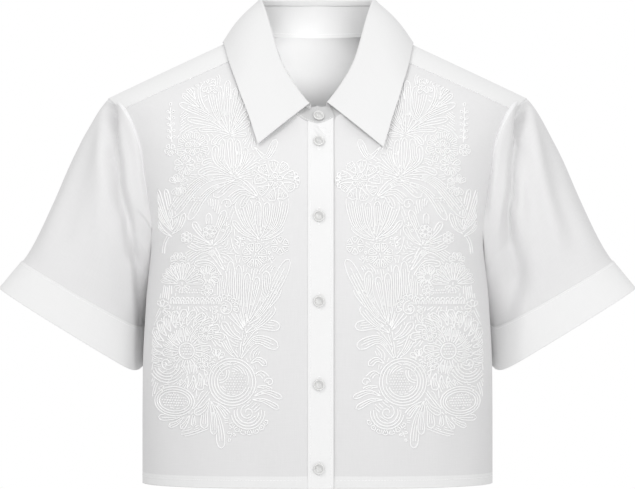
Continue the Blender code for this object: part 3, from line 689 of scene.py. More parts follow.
def leaf_place(under):
    """The leaf's place function: first its roll over the stand, then the part that rests on what is under it."""

    def place(u, v):
        angle = mix(LEAF_START[1], LEAF_START[0], u)
        top = stand_point(angle, 1)
        edge = (stand_point(angle + 1, 1) - stand_point(angle - 1, 1)).normalized()
        outward = edge.cross(top - stand_point(angle, 0)).normalized()
        upward = outward.cross(edge)
        folded = folded_angle(angle)
        roll_out = mix(ROLL_OUT_FRONT, ROLL_OUT, smooth((folded - ROLL_EASE[0]) / ROLL_EASE[1]))
        if v <= ROLLED:
            turn = math.pi * (1 - v / ROLLED)
            across = mix(-START_INSIDE, roll_out, (math.cos(turn) + 1) / 2)
            down = START_DOWN * (1 - smooth(START_SHARE * v / ROLLED)) + (roll_out - ROLL_OUT) * ROLL_DROP
            return top + outward * across + upward * (ROLL_GAP + ROLL_HEIGHT * math.sin(turn) - down)
        top = top - upward * (roll_out - ROLL_OUT) * ROLL_DROP
        start = top + outward * roll_out + upward * ROLL_GAP
        share = (v - ROLLED) / (1 - ROLLED)
        lift = float(np.interp(folded, LEAF_SHOULDER_ANGLES, (LEAF_LIFT, 1, 1, LEAF_LIFT)))
        away = (Vector((outward.x, outward.y, 0)).normalized() + Vector((0, 0, lift))).normalized()
        facing = smooth((LEAF_FACING[1] - folded) / (LEAF_FACING[1] - LEAF_FACING[0]))
        away = away.lerp(FRONT_AWAY, facing).normalized()
        end = leaf_rest(angle) + away * mix(LEAF_CLEARANCE, LEAF_FRONT_CLEARANCE, facing)
        point = start.lerp(end, share) + away * LEAF_BULGE * math.sin(math.pi * share)
        reached = outermost(point, away, under)
        if reached is not None and reached > -LEAF_STANDOFF:
            point += away * (reached + LEAF_STANDOFF)
        return point

    return place


bpy.context.view_layer.update()
graph = bpy.context.evaluated_depsgraph_get()
lower_pieces = [*fronts.values(), yoke, stand, outer_band]
under = [BVHTree.FromObject(piece, graph) for piece in lower_pieces]
leaf = cloth(
    "collar_leaf_cloth", (300, 64), (0.5, 0.09), leaf_place(under), LEAF_WALL, "voile_leaf", "collar_leaf",
    rounds=6,
)
print("leaf's box:", [round(d / MM) for d in leaf.dimensions], "mm")

# %% [markdown]
# ## The sleeves
#
# A short shirt sleeve is a wide tube, nearly flat, that leaves the armhole outwards at the shoulder and
# straight down at the underarm. Between the armhole and the cuff's seam each lengthwise thread is a cubic
# curve with a set direction at both ends. The body's front edge lies before it, so its inner side tucks in
# behind.

# %% The sleeve's shape
SleeveRing = namedtuple("SleeveRing", "outer_x outer_z inner_x inner_z half_depth lift back")
CUFF_SEAM = SleeveRing(309.5, -238.5, 181.5, -313.5, 42.0, 12.0, 32.0)
CUFF_END = SleeveRing(333.5, -267.0, 181.5, -362.5, 38.0, 25.0, 34.0)
CUFF_SHARE = 0.84
RING_POWER = 2.6
LIFT_POWER = 30
START_PULL = 26.0 * MM
END_PULL = 120.0 * MM
UNDERARM_LEAVING = Vector((0.12, 0.45, -0.88))
SHOULDER_LEAVING = Vector((0.88, 0.0, -0.45))
LEAVING_SPREAD = 0.42
LEAVING_POWER = 0.6
START_SHARE_MOST = 0.4
END_SHARE_MOST = 0.8
TUCK_IN = 10.0 * MM
TUCK_IN_END = 0.95


@lru_cache(maxsize=None)
def ring_point(ring, side, around):
    """A place on a sleeve ring: 0 is the underarm, a quarter the front, a half the top, then the back."""
    turn = 2 * math.pi * around
    inner = Vector((side * ring.inner_x, 0, ring.inner_z)) * MM
    outer = Vector((side * ring.outer_x, 0, ring.outer_z)) * MM
    along = -math.copysign(abs(math.cos(turn)) ** (2 / RING_POWER), math.cos(turn))
    depth = -math.copysign(abs(math.sin(turn)) ** (2 / RING_POWER), math.sin(turn)) * ring.half_depth * MM
    to_inner = (1 - along) / 2
    shift = Vector((0, RIDGE_Y + depth + ring.back * MM * to_inner**2, ring.lift * MM * to_inner**LIFT_POWER))
    return outer.lerp(inner, to_inner) + shift


@lru_cache(maxsize=None)
def sleeve_ends(side, around):
    """The start at the armhole, the cuff's seam and end, and the pulls that shape the curve between."""
    face, share = ("front", 2 * around) if around <= 0.5 else ("back", 2 - 2 * around)
    x, z = armhole_place(face, share)
    turn = 2 * math.pi * around
    top = (1 - math.cos(turn)) / 2
    leaving = UNDERARM_LEAVING.lerp(SHOULDER_LEAVING, top**LEAVING_POWER)
    back = UNDERARM_LEAVING.y * (1 - top) ** 4 - LEAVING_SPREAD * math.sin(turn)
    leaving = Vector((side * leaving.x, back, leaving.z)).normalized()
    start = form_point(side * x, z, face) - leaving * TUCK
    seam, end = ring_point(CUFF_SEAM, side, around), ring_point(CUFF_END, side, around)
    reach = (seam - start).length
    pull_0 = 3 * leaving * min(START_PULL, reach * START_SHARE_MOST)
    pull_1 = (end - seam).normalized() * min(END_PULL, reach * END_SHARE_MOST)
    return start, seam, end, pull_0, pull_1


def sleeve_base(side, around, along):
    """The sleeve's outer face without its folds, from the armhole at 0 to the cuff's end at 1."""
    start, seam, end, pull_0, pull_1 = sleeve_ends(side, around % 1)
    inner = max(math.cos(2 * math.pi * around), 0) ** 2
    behind = inner * math.sin(math.pi * held(along / TUCK_IN_END)) * TUCK_IN
    tucked = Vector((-side * behind, behind / 2, 0))
    if along >= CUFF_SHARE:
        return seam.lerp(end, (along - CUFF_SHARE) / (1 - CUFF_SHARE)) + tucked
    t = along / CUFF_SHARE
    rest = 1 - t
    ends = start * ((1 + 2 * t) * rest**2) + seam * ((3 - 2 * t) * t**2)
    return ends + pull_0 * (t * rest**2) - pull_1 * (rest * t**2) + tucked


print("sleeve's top, halfway:", [round(c, 3) for c in sleeve_base(1, 0.5, 0.42)])

# %% [markdown]
# The sleeve's folds are what make it cloth. A rounded strip stands up beside the armhole, where the seam's
# layers lie, and a valley follows it down to the underarm. Past it the sleeve swells again, with softer folds
# that fan out towards the cuff. Each fold is a path of a few places on the sleeve, with a width and a depth,
# which is negative where the cloth stands up. A hang is a fold whose whole inner side lies further back, from
# its path to the underarm. The two sleeves fell differently, so each has its own.

# %% The sleeve's folds
SLEEVE_GIRTH = 390.0
SLEEVE_LENGTH = 200.0
FOLDS = table(
    "side depth width path",
    (-1, 17.0, 9, ((0.455, 0.09), (0.432, 0.12), (0.385, 0.195), (0.345, 0.24), (0.28, 0.285),
                    (0.215, 0.325), (0.17, 0.42))),
    (-1, 6.0, 6, ((0.455, 0.085), (0.432, 0.12), (0.385, 0.195))),
    (-1, -3.0, 9, ((0.46, 0.02), (0.38, 0.04), (0.29, 0.08), (0.20, 0.12))),
    (-1, -3.5, 12, ((0.42, 0.20), (0.33, 0.34), (0.25, 0.50), (0.21, 0.72))),
    (-1, 4.0, 16, ((0.46, 0.22), (0.39, 0.42), (0.33, 0.70))),
    (-1, -2.0, 14, ((0.47, 0.30), (0.43, 0.50), (0.41, 0.72))),
    (1, 16.0, 9, ((0.45, 0.08), (0.425, 0.11), (0.365, 0.19), (0.29, 0.25), (0.225, 0.31), (0.20, 0.40))),
    (1, 6.0, 6, ((0.45, 0.075), (0.43, 0.11), (0.375, 0.17))),
    (1, -4.0, 10, ((0.46, 0.02), (0.38, 0.04), (0.29, 0.08), (0.20, 0.12))),
    (1, 13.0, 12, ((0.20, 0.36), (0.195, 0.55), (0.18, 0.80))),
    (1, -4.0, 10, ((0.44, 0.15), (0.36, 0.34), (0.29, 0.64))),
    (1, 5.0, 10, ((0.40, 0.18), (0.31, 0.34), (0.25, 0.52))),
    (1, 4.0, 13, ((0.46, 0.26), (0.38, 0.48), (0.34, 0.74))),
    (-1, 5.0, 15, ((0.56, 0.10), (0.66, 0.30), (0.74, 0.60))),
    (-1, 3.0, 14, ((0.62, 0.12), (0.78, 0.34), (0.84, 0.66))),
    (1, 5.0, 15, ((0.57, 0.10), (0.66, 0.34), (0.72, 0.62))),
    (1, 3.0, 14, ((0.63, 0.14), (0.79, 0.32), (0.86, 0.60))),
    (-1, -1.6, 20, ((0.52, 0.30), (0.56, 0.52), (0.58, 0.76))),
    (1, -1.6, 20, ((0.51, 0.28), (0.55, 0.50), (0.58, 0.76))),
)
HANGS = table(
    "side depth width path",
    (-1, 12.0, 3.5, ((0.245, 0.24), (0.23, 0.28), (0.187, 0.35), (0.162, 0.44), (0.149, 0.52),
                      (0.137, 0.60), (0.122, 0.70), (0.107, 0.84), (0.092, 1.0))),
    (1, 6.0, 10, ((0.23, 0.28), (0.20, 0.42), (0.19, 0.60), (0.17, 0.80), (0.16, 1.0))),
)
HANG_START = 0.55
HANG_INNER = 0.05
HANG_AT_CUFF = 0.4
FOLD_FADE_TOP = 0.05
FOLD_FADE_CUFF = 0.26
FOLD_REACH = 2.5
FOLD_SPAN = (0.15, 0.85)
HANG_EASE = 0.3
NORMAL_STEP = 0.004


def path_near(around, along, path):
    """The distance from a fold's path, positive on its inner side, and how far along the path that is."""
    here = Vector((around * SLEEVE_GIRTH, along * SLEEVE_LENGTH))
    stops = [Vector((a * SLEEVE_GIRTH, b * SLEEVE_LENGTH)) for a, b in path]
    best, placed = math.inf, 0.0
    for i, (start, end) in enumerate(zip(stops, stops[1:])):
        run = end - start
        share = held((here - start).dot(run) / run.length_squared)
        aside = here - start - run * share
        if aside.length < abs(best):
            best = math.copysign(aside.length, run.cross(aside))
            placed = (i + share) / (len(stops) - 1)
    return best, placed


def fold_depth(side, around, along):
    """How far the folds pull the cloth in."""
    total = 0.0
    for fold in FOLDS:
        if fold.side == side:
            away, placed = path_near(around % 1, along, fold.path)
            if abs(away) < FOLD_REACH * fold.width:
                hollow = math.exp(-((away / fold.width) ** 2))
                total += fold.depth * hollow * math.sin(math.pi * mix(*FOLD_SPAN, placed))
    return total * MM


def hung_back(side, around, along):
    """How far the sleeve's inner part hangs behind its swollen front."""
    total = 0.0
    for hang in HANGS:
        if hang.side == side and around % 1 < 0.5:
            away, placed = path_near(around % 1, along, hang.path)
            total += hang.depth * smooth(0.5 + away / hang.width / 2) * smooth(placed / HANG_START)
    at_cuff = mix(1, HANG_AT_CUFF, smooth((along - CUFF_SHARE) / (1 - CUFF_SHARE) + HANG_EASE))
    return total * smooth(around % 1 / HANG_INNER) * at_cuff * MM


def sleeve_point(side, around, along, proud=0.0):
    """The sleeve's outer face, its folds pulled in along the cloth's normal."""
    step = NORMAL_STEP
    ahead = sleeve_base(side, around, min(along + step, 1)) - sleeve_base(side, around, max(along - step, 0))
    turn = sleeve_base(side, around + step, along) - sleeve_base(side, around - step, along)
    normal = turn.cross(ahead).normalized() * (1 if side < 0 else -1)
    fade = smooth(along / FOLD_FADE_TOP) * smooth((CUFF_SHARE - along) / FOLD_FADE_CUFF)
    point = sleeve_base(side, around, along) + Vector((0, hung_back(side, around, along), 0))
    uneven = UNEVEN * noise.noise(point / UNEVEN_SIZE) * smooth(along / FOLD_FADE_TOP)
    return point + normal * (proud + uneven - fold_depth(side, around, along) * fade)


print("folds:", len(FOLDS), "deepest", max(fold.depth for fold in FOLDS), "mm")

# %% The sleeves and their cuffs
CUFF_PROUD = 0.9 * MM
CUFF_WALL = 1.4 * MM
CUFF_LAP = 0.012


def sleeve_place(side, start, end, proud):
    """The place function of a sleeve's cloth between two shares of its length."""

    def place(u, v):
        around = u % 1 if side < 0 else (1 - u) % 1
        return sleeve_point(side, around, mix(start, end, v), proud)

    return place


sleeves, cuffs = {}, {}
for hand, side in HANDS:
    body = sleeve_place(side, 0, CUFF_SHARE + CUFF_LAP, 0)
    sleeves[hand] = cloth(
        f"sleeve_{hand}_cloth", (150, 76), (0.42, 0.155), body, SINGLE, "voile_sleeve", f"sleeve_{hand}", True
    )
    turned = sleeve_place(side, CUFF_SHARE, 1, CUFF_PROUD)
    cuffs[hand] = cloth(
        f"cuff_{hand}_cloth", (150, 16), (0.37, 0.035), turned, CUFF_WALL, "voile_double", f"cuff_{hand}", True
    )
print("sleeves' points:", [len(piece.data.vertices) for piece in sleeves.values()])

# %% [markdown]
# ## The cloth's looks
#
# Two groups of nodes hold what every white cloth here shares. One gives fine slubs, the thicker places in
# hand-spun thread that run along the warp and the weft, and a plain weave for the bump. The other reads in the
# UV map where the edge is turned in. Each material places both with its own values. The sheer voile is greyer,
# because light goes through it, and whiter where it lies double. Painted shade greys the stand's front ends,
# where the leaf over them keeps off more light than soft lamps show. It also darkens the fronts and the back
# towards the hem, and the leaf towards its fold.

# %% The weave group
VOILE = (0.775, 0.772, 0.775, 1)
DOUBLED = (0.845, 0.845, 0.845, 1)
SEAM_ALLOWANCE = (0.85, 0.85, 0.855, 1)
THREAD_PITCH = 0.6 * MM
SLUB_SCALES = ((1500, 70, 1), (70, 1500, 1))
WEAVE_SHARE = 0.3
RISE_LENGTH = 0.24
END_SHADED = 0.055
END_FADE = 0.02


def feed(tree, node, sources):
    """Fills a node's inputs, each with a value or with the output that it is linked to."""
    for socket, source in sources.items():
        if isinstance(source, bpy.types.NodeSocket):
            tree.links.new(source, node.inputs[socket])
        else:
            node.inputs[socket].default_value = source
    return node


def add_node(tree, kind, sources=None, **settings):
    """A new node with its settings made and its inputs fed."""
    node = tree.nodes.new(kind)
    for setting, value in settings.items():
        setattr(node, setting, value)
    return feed(tree, node, sources or {})


def math_node(tree, operation, *values):
    return add_node(tree, "ShaderNodeMath", dict(enumerate(values)), operation=operation).outputs[0]


def new_group(name, inputs, outputs):
    """A group of nodes with its inputs' names and values, and its outputs' names."""
    group = bpy.data.node_groups.new(name, "ShaderNodeTree")
    for socket, value in inputs.items():
        group.interface.new_socket(socket, in_out="INPUT", socket_type="NodeSocketFloat").default_value = value
    for socket in outputs:
        group.interface.new_socket(socket, in_out="OUTPUT", socket_type="NodeSocketFloat")
    flat = add_node(group, "ShaderNodeUVMap", uv_map="cloth").outputs[0]
    return group, group.nodes.new("NodeGroupInput").outputs, group.nodes.new("NodeGroupOutput"), flat


def make_weave():
    """Tone is a factor around 1 for the colour, Height a small relief for a Bump node."""
    inputs = {"Slubs": 0.03, "Pitch": THREAD_PITCH}
    group, start, end, flat = new_group("woven cotton", inputs, ("Tone", "Height"))
    slubs = []
    for scale in SLUB_SCALES:
        stretched = add_node(group, "ShaderNodeMapping", {"Vector": flat, "Scale": scale}).outputs[0]
        streaks = add_node(group, "ShaderNodeTexNoise", {"Vector": stretched, "Scale": 1, "Detail": 2})
        slubs.append(streaks.outputs[0])
    both = math_node(group, "ADD", *slubs)
    centred = math_node(group, "SUBTRACT", both, 1.0)
    tone = math_node(group, "MULTIPLY_ADD", centred, start["Slubs"], 1.0)
    split = add_node(group, "ShaderNodeSeparateXYZ", {0: flat}).outputs
    waves = []
    for axis in (0, 1):
        turns = math_node(group, "DIVIDE", split[axis], start["Pitch"])
        waves.append(math_node(group, "SINE", math_node(group, "MULTIPLY", turns, math.pi)))
    crossings = math_node(group, "MULTIPLY", *waves)
    height = math_node(group, "MULTIPLY_ADD", crossings, WEAVE_SHARE, both)
    feed(group, end, {"Tone": tone, "Height": height})
    return group


def make_double_mask():
    """Double is 1 along the edge where the cloth's length starts, Risen grows from 0 to 1 above it, and Ends
    from 0 to 1 towards both ends of its width. Risen and Ends only place painted shade."""
    inputs = {"Depth": HEM_DEPTH, "Width": STAND_LENGTH}
    group, start, end, flat = new_group("turned edge", inputs, ("Double", "Risen", "Ends"))
    across, along, _ = add_node(group, "ShaderNodeSeparateXYZ", {0: flat}).outputs
    double = math_node(group, "LESS_THAN", along, start["Depth"])
    risen = math_node(group, "MINIMUM", math_node(group, "DIVIDE", along, RISE_LENGTH), 1.0)
    middle = math_node(group, "MULTIPLY", start["Width"], 0.5)
    aside = math_node(group, "ABSOLUTE", math_node(group, "SUBTRACT", across, middle))
    inside = math_node(group, "SUBTRACT", middle, aside)
    faded = math_node(group, "DIVIDE", math_node(group, "SUBTRACT", END_SHADED, inside), END_FADE)
    ends = math_node(group, "MINIMUM", math_node(group, "MAXIMUM", faded, 0.0), 1.0)
    feed(group, end, {"Double": double, "Risen": risen, "Ends": ends})
    return group


WEAVE = make_weave()
DOUBLE_MASK = make_double_mask()
print("groups:", WEAVE.name, "and", DOUBLE_MASK.name)

# %% The cloth materials
RELIEF = 0.1 * MM
TWIST_SCALE = 1400
CLOUD_SCALE = 260
SHELL_TINTS = ((0.74, 0.74, 0.73, 1), (0.85, 0.85, 0.84, 1))
# the painted shade in the buttons' holes; the other painted shades on the buttons are shares of it
HOLE_PAINTED_SHADE = (0.22, 0.22, 0.22, 1)
# The last two columns paint shade. The first greys the cloth towards the edge where its length starts: the hem
# on the fronts and the back, the fold on the leaf. The second greys the stand's two front ends, under the leaf.
COTTONS = table(
    "name single turned roughness slubs bump fall ends",
    ("voile_single", VOILE, DOUBLED, 0.8, 0.05, 0.5, 0.06, 0.0),
    ("voile_sleeve", VOILE, SEAM_ALLOWANCE, 0.8, 0.05, 0.5, 0.0, 0.0),
    ("voile_double", DOUBLED, DOUBLED, 0.75, 0.03, 0.4, 0.0, 0.0),
    ("voile_leaf", DOUBLED, DOUBLED, 0.75, 0.03, 0.4, 0.06, 0.0),
    ("voile_stand", DOUBLED, DOUBLED, 0.75, 0.03, 0.4, 0.0, 0.27),
)


def new_material(name):
    material = bpy.data.materials.get(name) or bpy.data.materials.new(name)
    material.use_nodes = True
    return material.node_tree, material.node_tree.nodes["Principled BSDF"]


def mixed(tree, first, second, factor):
    """One colour that goes over into another by a factor."""
    colours = {"A": first, "B": second, "Factor": factor}
    return add_node(tree, "ShaderNodeMix", colours, data_type="RGBA").outputs["Result"]


def relief(tree, height, strength):
    """The normal that a height gives the surface."""
    inputs = {"Height": height, "Strength": strength, "Distance": RELIEF}
    return add_node(tree, "ShaderNodeBump", inputs).outputs[0]


def cloudy(tree, scale):
    """Noise that stays with the object."""
    place = add_node(tree, "ShaderNodeTexCoord").outputs["Object"]
    return add_node(tree, "ShaderNodeTexNoise", {"Vector": place, "Scale": scale}).outputs[0]


def make_cotton(name, single, turned, roughness, slubs, bump, edge_shade, ends):
    """White cotton with another tone where an edge is turned in. Its last two values paint shade: how much
    greyer it is at that edge than 24 cm above it, and how much greyer its two ends are."""
    tree, shader = new_material(name)
    weave = add_node(tree, "ShaderNodeGroup", {"Slubs": slubs}, node_tree=WEAVE).outputs
    edge = add_node(tree, "ShaderNodeGroup", node_tree=DOUBLE_MASK).outputs
    layers = mixed(tree, single, turned, edge["Double"])
    # painted shade: darker towards the hem or the leaf's fold, and at the stand's front ends
    edge_shaded = math_node(tree, "MULTIPLY_ADD", edge["Risen"], edge_shade, 1 - edge_shade)
    ends_shaded = math_node(tree, "MULTIPLY_ADD", edge["Ends"], -ends, 1.0)
    tone = math_node(tree, "MULTIPLY", math_node(tree, "MULTIPLY", weave["Tone"], edge_shaded), ends_shaded)
    toned = add_node(tree, "ShaderNodeVectorMath", {0: layers, "Scale": tone}, operation="SCALE").outputs[0]
    feed(tree, shader, {"Base Color": toned, "Normal": relief(tree, weave["Height"], bump)})
    feed(tree, shader, {"Roughness": roughness, "Sheen Weight": 0.15, "Sheen Roughness": 0.4})


def make_thread(name, colour):
    """Lustrous cotton thread: brighter and shinier than the cloth, with a fine twist in its relief."""
    tree, shader = new_material(name)
    twist = relief(tree, cloudy(tree, TWIST_SCALE), 0.4)
    feed(tree, shader, {"Base Color": colour, "Roughness": 0.45, "Normal": twist})


def make_shell(name):
    """Shell buttons: off-white, glossy, with faint cloudy bands, and painted shade where a number kept at each
    point says: in the holes, the groove inside the rim and at the rim's foot.
    """
    tree, shader = new_material(name)
    holes = add_node(tree, "ShaderNodeAttribute", attribute_name="painted_shade").outputs["Fac"]
    shell = mixed(tree, *SHELL_TINTS, cloudy(tree, CLOUD_SCALE))
    shaded = mixed(tree, shell, HOLE_PAINTED_SHADE, holes)
    feed(tree, shader, {"Base Color": shaded, "Roughness": 0.22, "Coat Weight": 0.4})


for cotton in COTTONS:
    make_cotton(*cotton)
make_thread("thread", (0.97, 0.97, 0.97, 1))
print("materials:", [material.name for material in bpy.data.materials if material.use_nodes])

# %% [markdown]
# ## The embroidery
#
# Both fronts are worked in white thread with flowers, leaves and scrolls, one front mirroring the other. The
# pattern here is a plain composition of such ordinary motifs. It is drawn flat, in millimetres outwards from
# the centre front and up from the nape, as strokes: lines of thread with a thickness. A function draws each
# kind of motif, and each row of a table is what one call of it is given. Where an earlier motif lies, a later
# one's strokes stop, as a stitcher's would. Short lines then fill the ground between, and at the end every
# stroke is laid on the cloth.

# %% Strokes of thread
Stroke = namedtuple("Stroke", "points thick")
OUTLINE = 0.66
VEIN = 0.58
KNOT = 0.85
KNOT_HALF = 0.4
LINE_GAP = 2.3
FINEST = 1.1
POINT_PITCH = 1.6
FEWEST_POINTS = 7
TIP_START = 0.78
TIP_SPAN = 0.22
LEAF_SWELL = 0.75
VEIN_END = 0.93
VEIN_SHORTER = 0.12
SPRIG_LEAN = 55
SPRIG_BEND = 0.08
RING_PITCH = 1.5


def path_through(stops):
    """A smooth line through a few places, the directions across it, and how far along each point is."""
    keys = list(range(len(stops)))
    read = [curve_through(keys, [stop[axis] for stop in stops]) for axis in (0, 1)]
    length = sum(math.dist(start, end) for start, end in zip(stops, stops[1:]))
    steps = max(int(length / POINT_PITCH), FEWEST_POINTS)
    points = np.array([[at(key) for at in read] for key in np.linspace(0, keys[-1], steps)])
    ahead = np.gradient(points, axis=0)
    ahead /= np.linalg.norm(ahead, axis=1)[:, None]
    return points, np.column_stack([-ahead[:, 1], ahead[:, 0]]), np.linspace(0, 1, steps)


def stem_strokes(*stops):
    """Two lines side by side."""
    spine, across, _ = path_through(stops)
    return [Stroke(spine + across * LINE_GAP * aside, OUTLINE) for aside in (-0.5, 0.5)]


def frond_strokes(stops, width, veins=1):
    """A leaf that grows wider from its foot and ends round, with veins that follow its edges."""
    spine, across, share = path_through(stops)
    tip = np.clip((share - TIP_START) / TIP_SPAN, 0, 1)
    half = (width / 2 * share**LEAF_SWELL * np.sqrt(1 - tip**2))[:, None]
    strokes = [Stroke(np.vstack([spine + across * half, (spine - across * half)[-2::-1]]), OUTLINE)]
    first = int(np.argmax(half[:, 0] * 2 / (veins + 1) > FINEST))
    for vein in range(veins):
        aside = (vein + 1) / (veins + 1) * 2 - 1
        last = max(int(len(spine) * (VEIN_END - VEIN_SHORTER * abs(aside))), first + 2)
        strokes.append(Stroke((spine + across * half * aside)[first:last], VEIN))
    return strokes


def leaf_strokes(*row):
    """A leaf whose row gives x and z of its foot, its middle and its tip, then its width and its veins."""
    return frond_strokes((row[0:2], row[2:4], row[4:6]), *row[6:])


def sprig_strokes(x, z, angle, length, pairs, leaf):
    """A short stem with pairs of small leaves and one at its tip."""
    foot = np.array([x, z])
    ahead = np.array([math.cos(math.radians(angle)), math.sin(math.radians(angle))])
    strokes = [Stroke(np.linspace((x, z), foot + ahead * length, 6), OUTLINE)]
    for i in range(pairs + 1):
        place = foot + ahead * length * (i + 0.5) / (pairs + 0.5)
        for lean in ((0,) if i == pairs else (-SPRIG_LEAN, SPRIG_LEAN)):
            turn = math.radians(angle + lean)
            end = place + np.array([math.cos(turn), math.sin(turn)]) * leaf
            middle = (place + end) / 2 + ahead * leaf * SPRIG_BEND
            strokes += frond_strokes((place, middle, end), leaf * 0.5, 0)
    return strokes


def ring_strokes(x, z, across, high, start=0, end=360):
    steps = max(int(math.radians(end - start) * (across + high) / (2 * RING_PITCH)), 9)
    turn = np.radians(np.linspace(start, end, steps))
    return [Stroke(np.column_stack([x + across * np.cos(turn), z + high * np.sin(turn)]), OUTLINE)]


def knot_strokes(x, z, across, high, pitch=2.7):
    """French knots: short thick dots, in staggered rows inside an oval."""
    strokes = []
    for row, rise in enumerate(np.arange(-high, high + 0.1, pitch)):
        for out in np.arange(-across + row % 2 * pitch / 2, across + 0.1, pitch):
            if (out / across) ** 2 + (rise / high) ** 2 <= 1:
                ends = [[x + out - KNOT_HALF, z + rise], [x + out + KNOT_HALF, z + rise]]
                strokes.append(Stroke(np.array(ends), KNOT))
    return strokes


print("a leaf takes", len(frond_strokes(((0, 0), (10, 20), (15, 30)), 8)), "strokes")

# %% [markdown]
# Petals are leaves as well, set side by side on a ring. A full ring makes a flower, and a part of one a fan.

# %% Flowers and scrolls
PETAL_FIT = 0.96
FLOWER_MIDDLE = 0.26
SCROLL_CURL = 0.72


def petal_strokes(x, z, inner, outer, petals, start=0, end=360, bend=0):
    """Petals side by side over a ring or a part of it."""
    strokes = []
    step = (end - start) / petals
    for i in range(petals):
        turn = math.radians(start + step * (i + 0.5))
        stops = []
        for reach, lean in ((inner, 0), ((inner + outer) / 2, 0.3), (outer, 1)):
            angle = turn + math.radians(bend) * lean
            stops.append((x + reach * math.cos(angle), z + reach * math.sin(angle)))
        width = PETAL_FIT * (inner * 0.25 + outer * 0.75) * math.radians(abs(step))
        strokes += frond_strokes(stops, width, max(int(width / LINE_GAP) - 1, 0))
    return strokes


def flower_strokes(x, z, radius, petals, turn=0):
    """A ring of petals round a middle of knots."""
    middle = radius * FLOWER_MIDDLE
    strokes = petal_strokes(x, z, middle, radius, petals, turn, turn + 360)
    return strokes + ring_strokes(x, z, middle, middle) + knot_strokes(x, z, middle * 0.6, middle * 0.6)


def scroll_strokes(x, z, radius, start, turns):
    """A line that curls in round a knot. Negative turns curl clockwise."""
    share = np.linspace(0, 1, int(radius * abs(turns) * 3) + 8)
    reach = radius * (1 - SCROLL_CURL * share)
    turn = math.radians(start) + 2 * math.pi * turns * share
    curl = Stroke(np.column_stack([x + reach * np.cos(turn), z + reach * np.sin(turn)]), OUTLINE)
    return [curl, *knot_strokes(x, z, radius * 0.15, radius * 0.15)]


print("a flower of 8 petals takes", len(flower_strokes(0, 0, 15, 8)), "strokes")

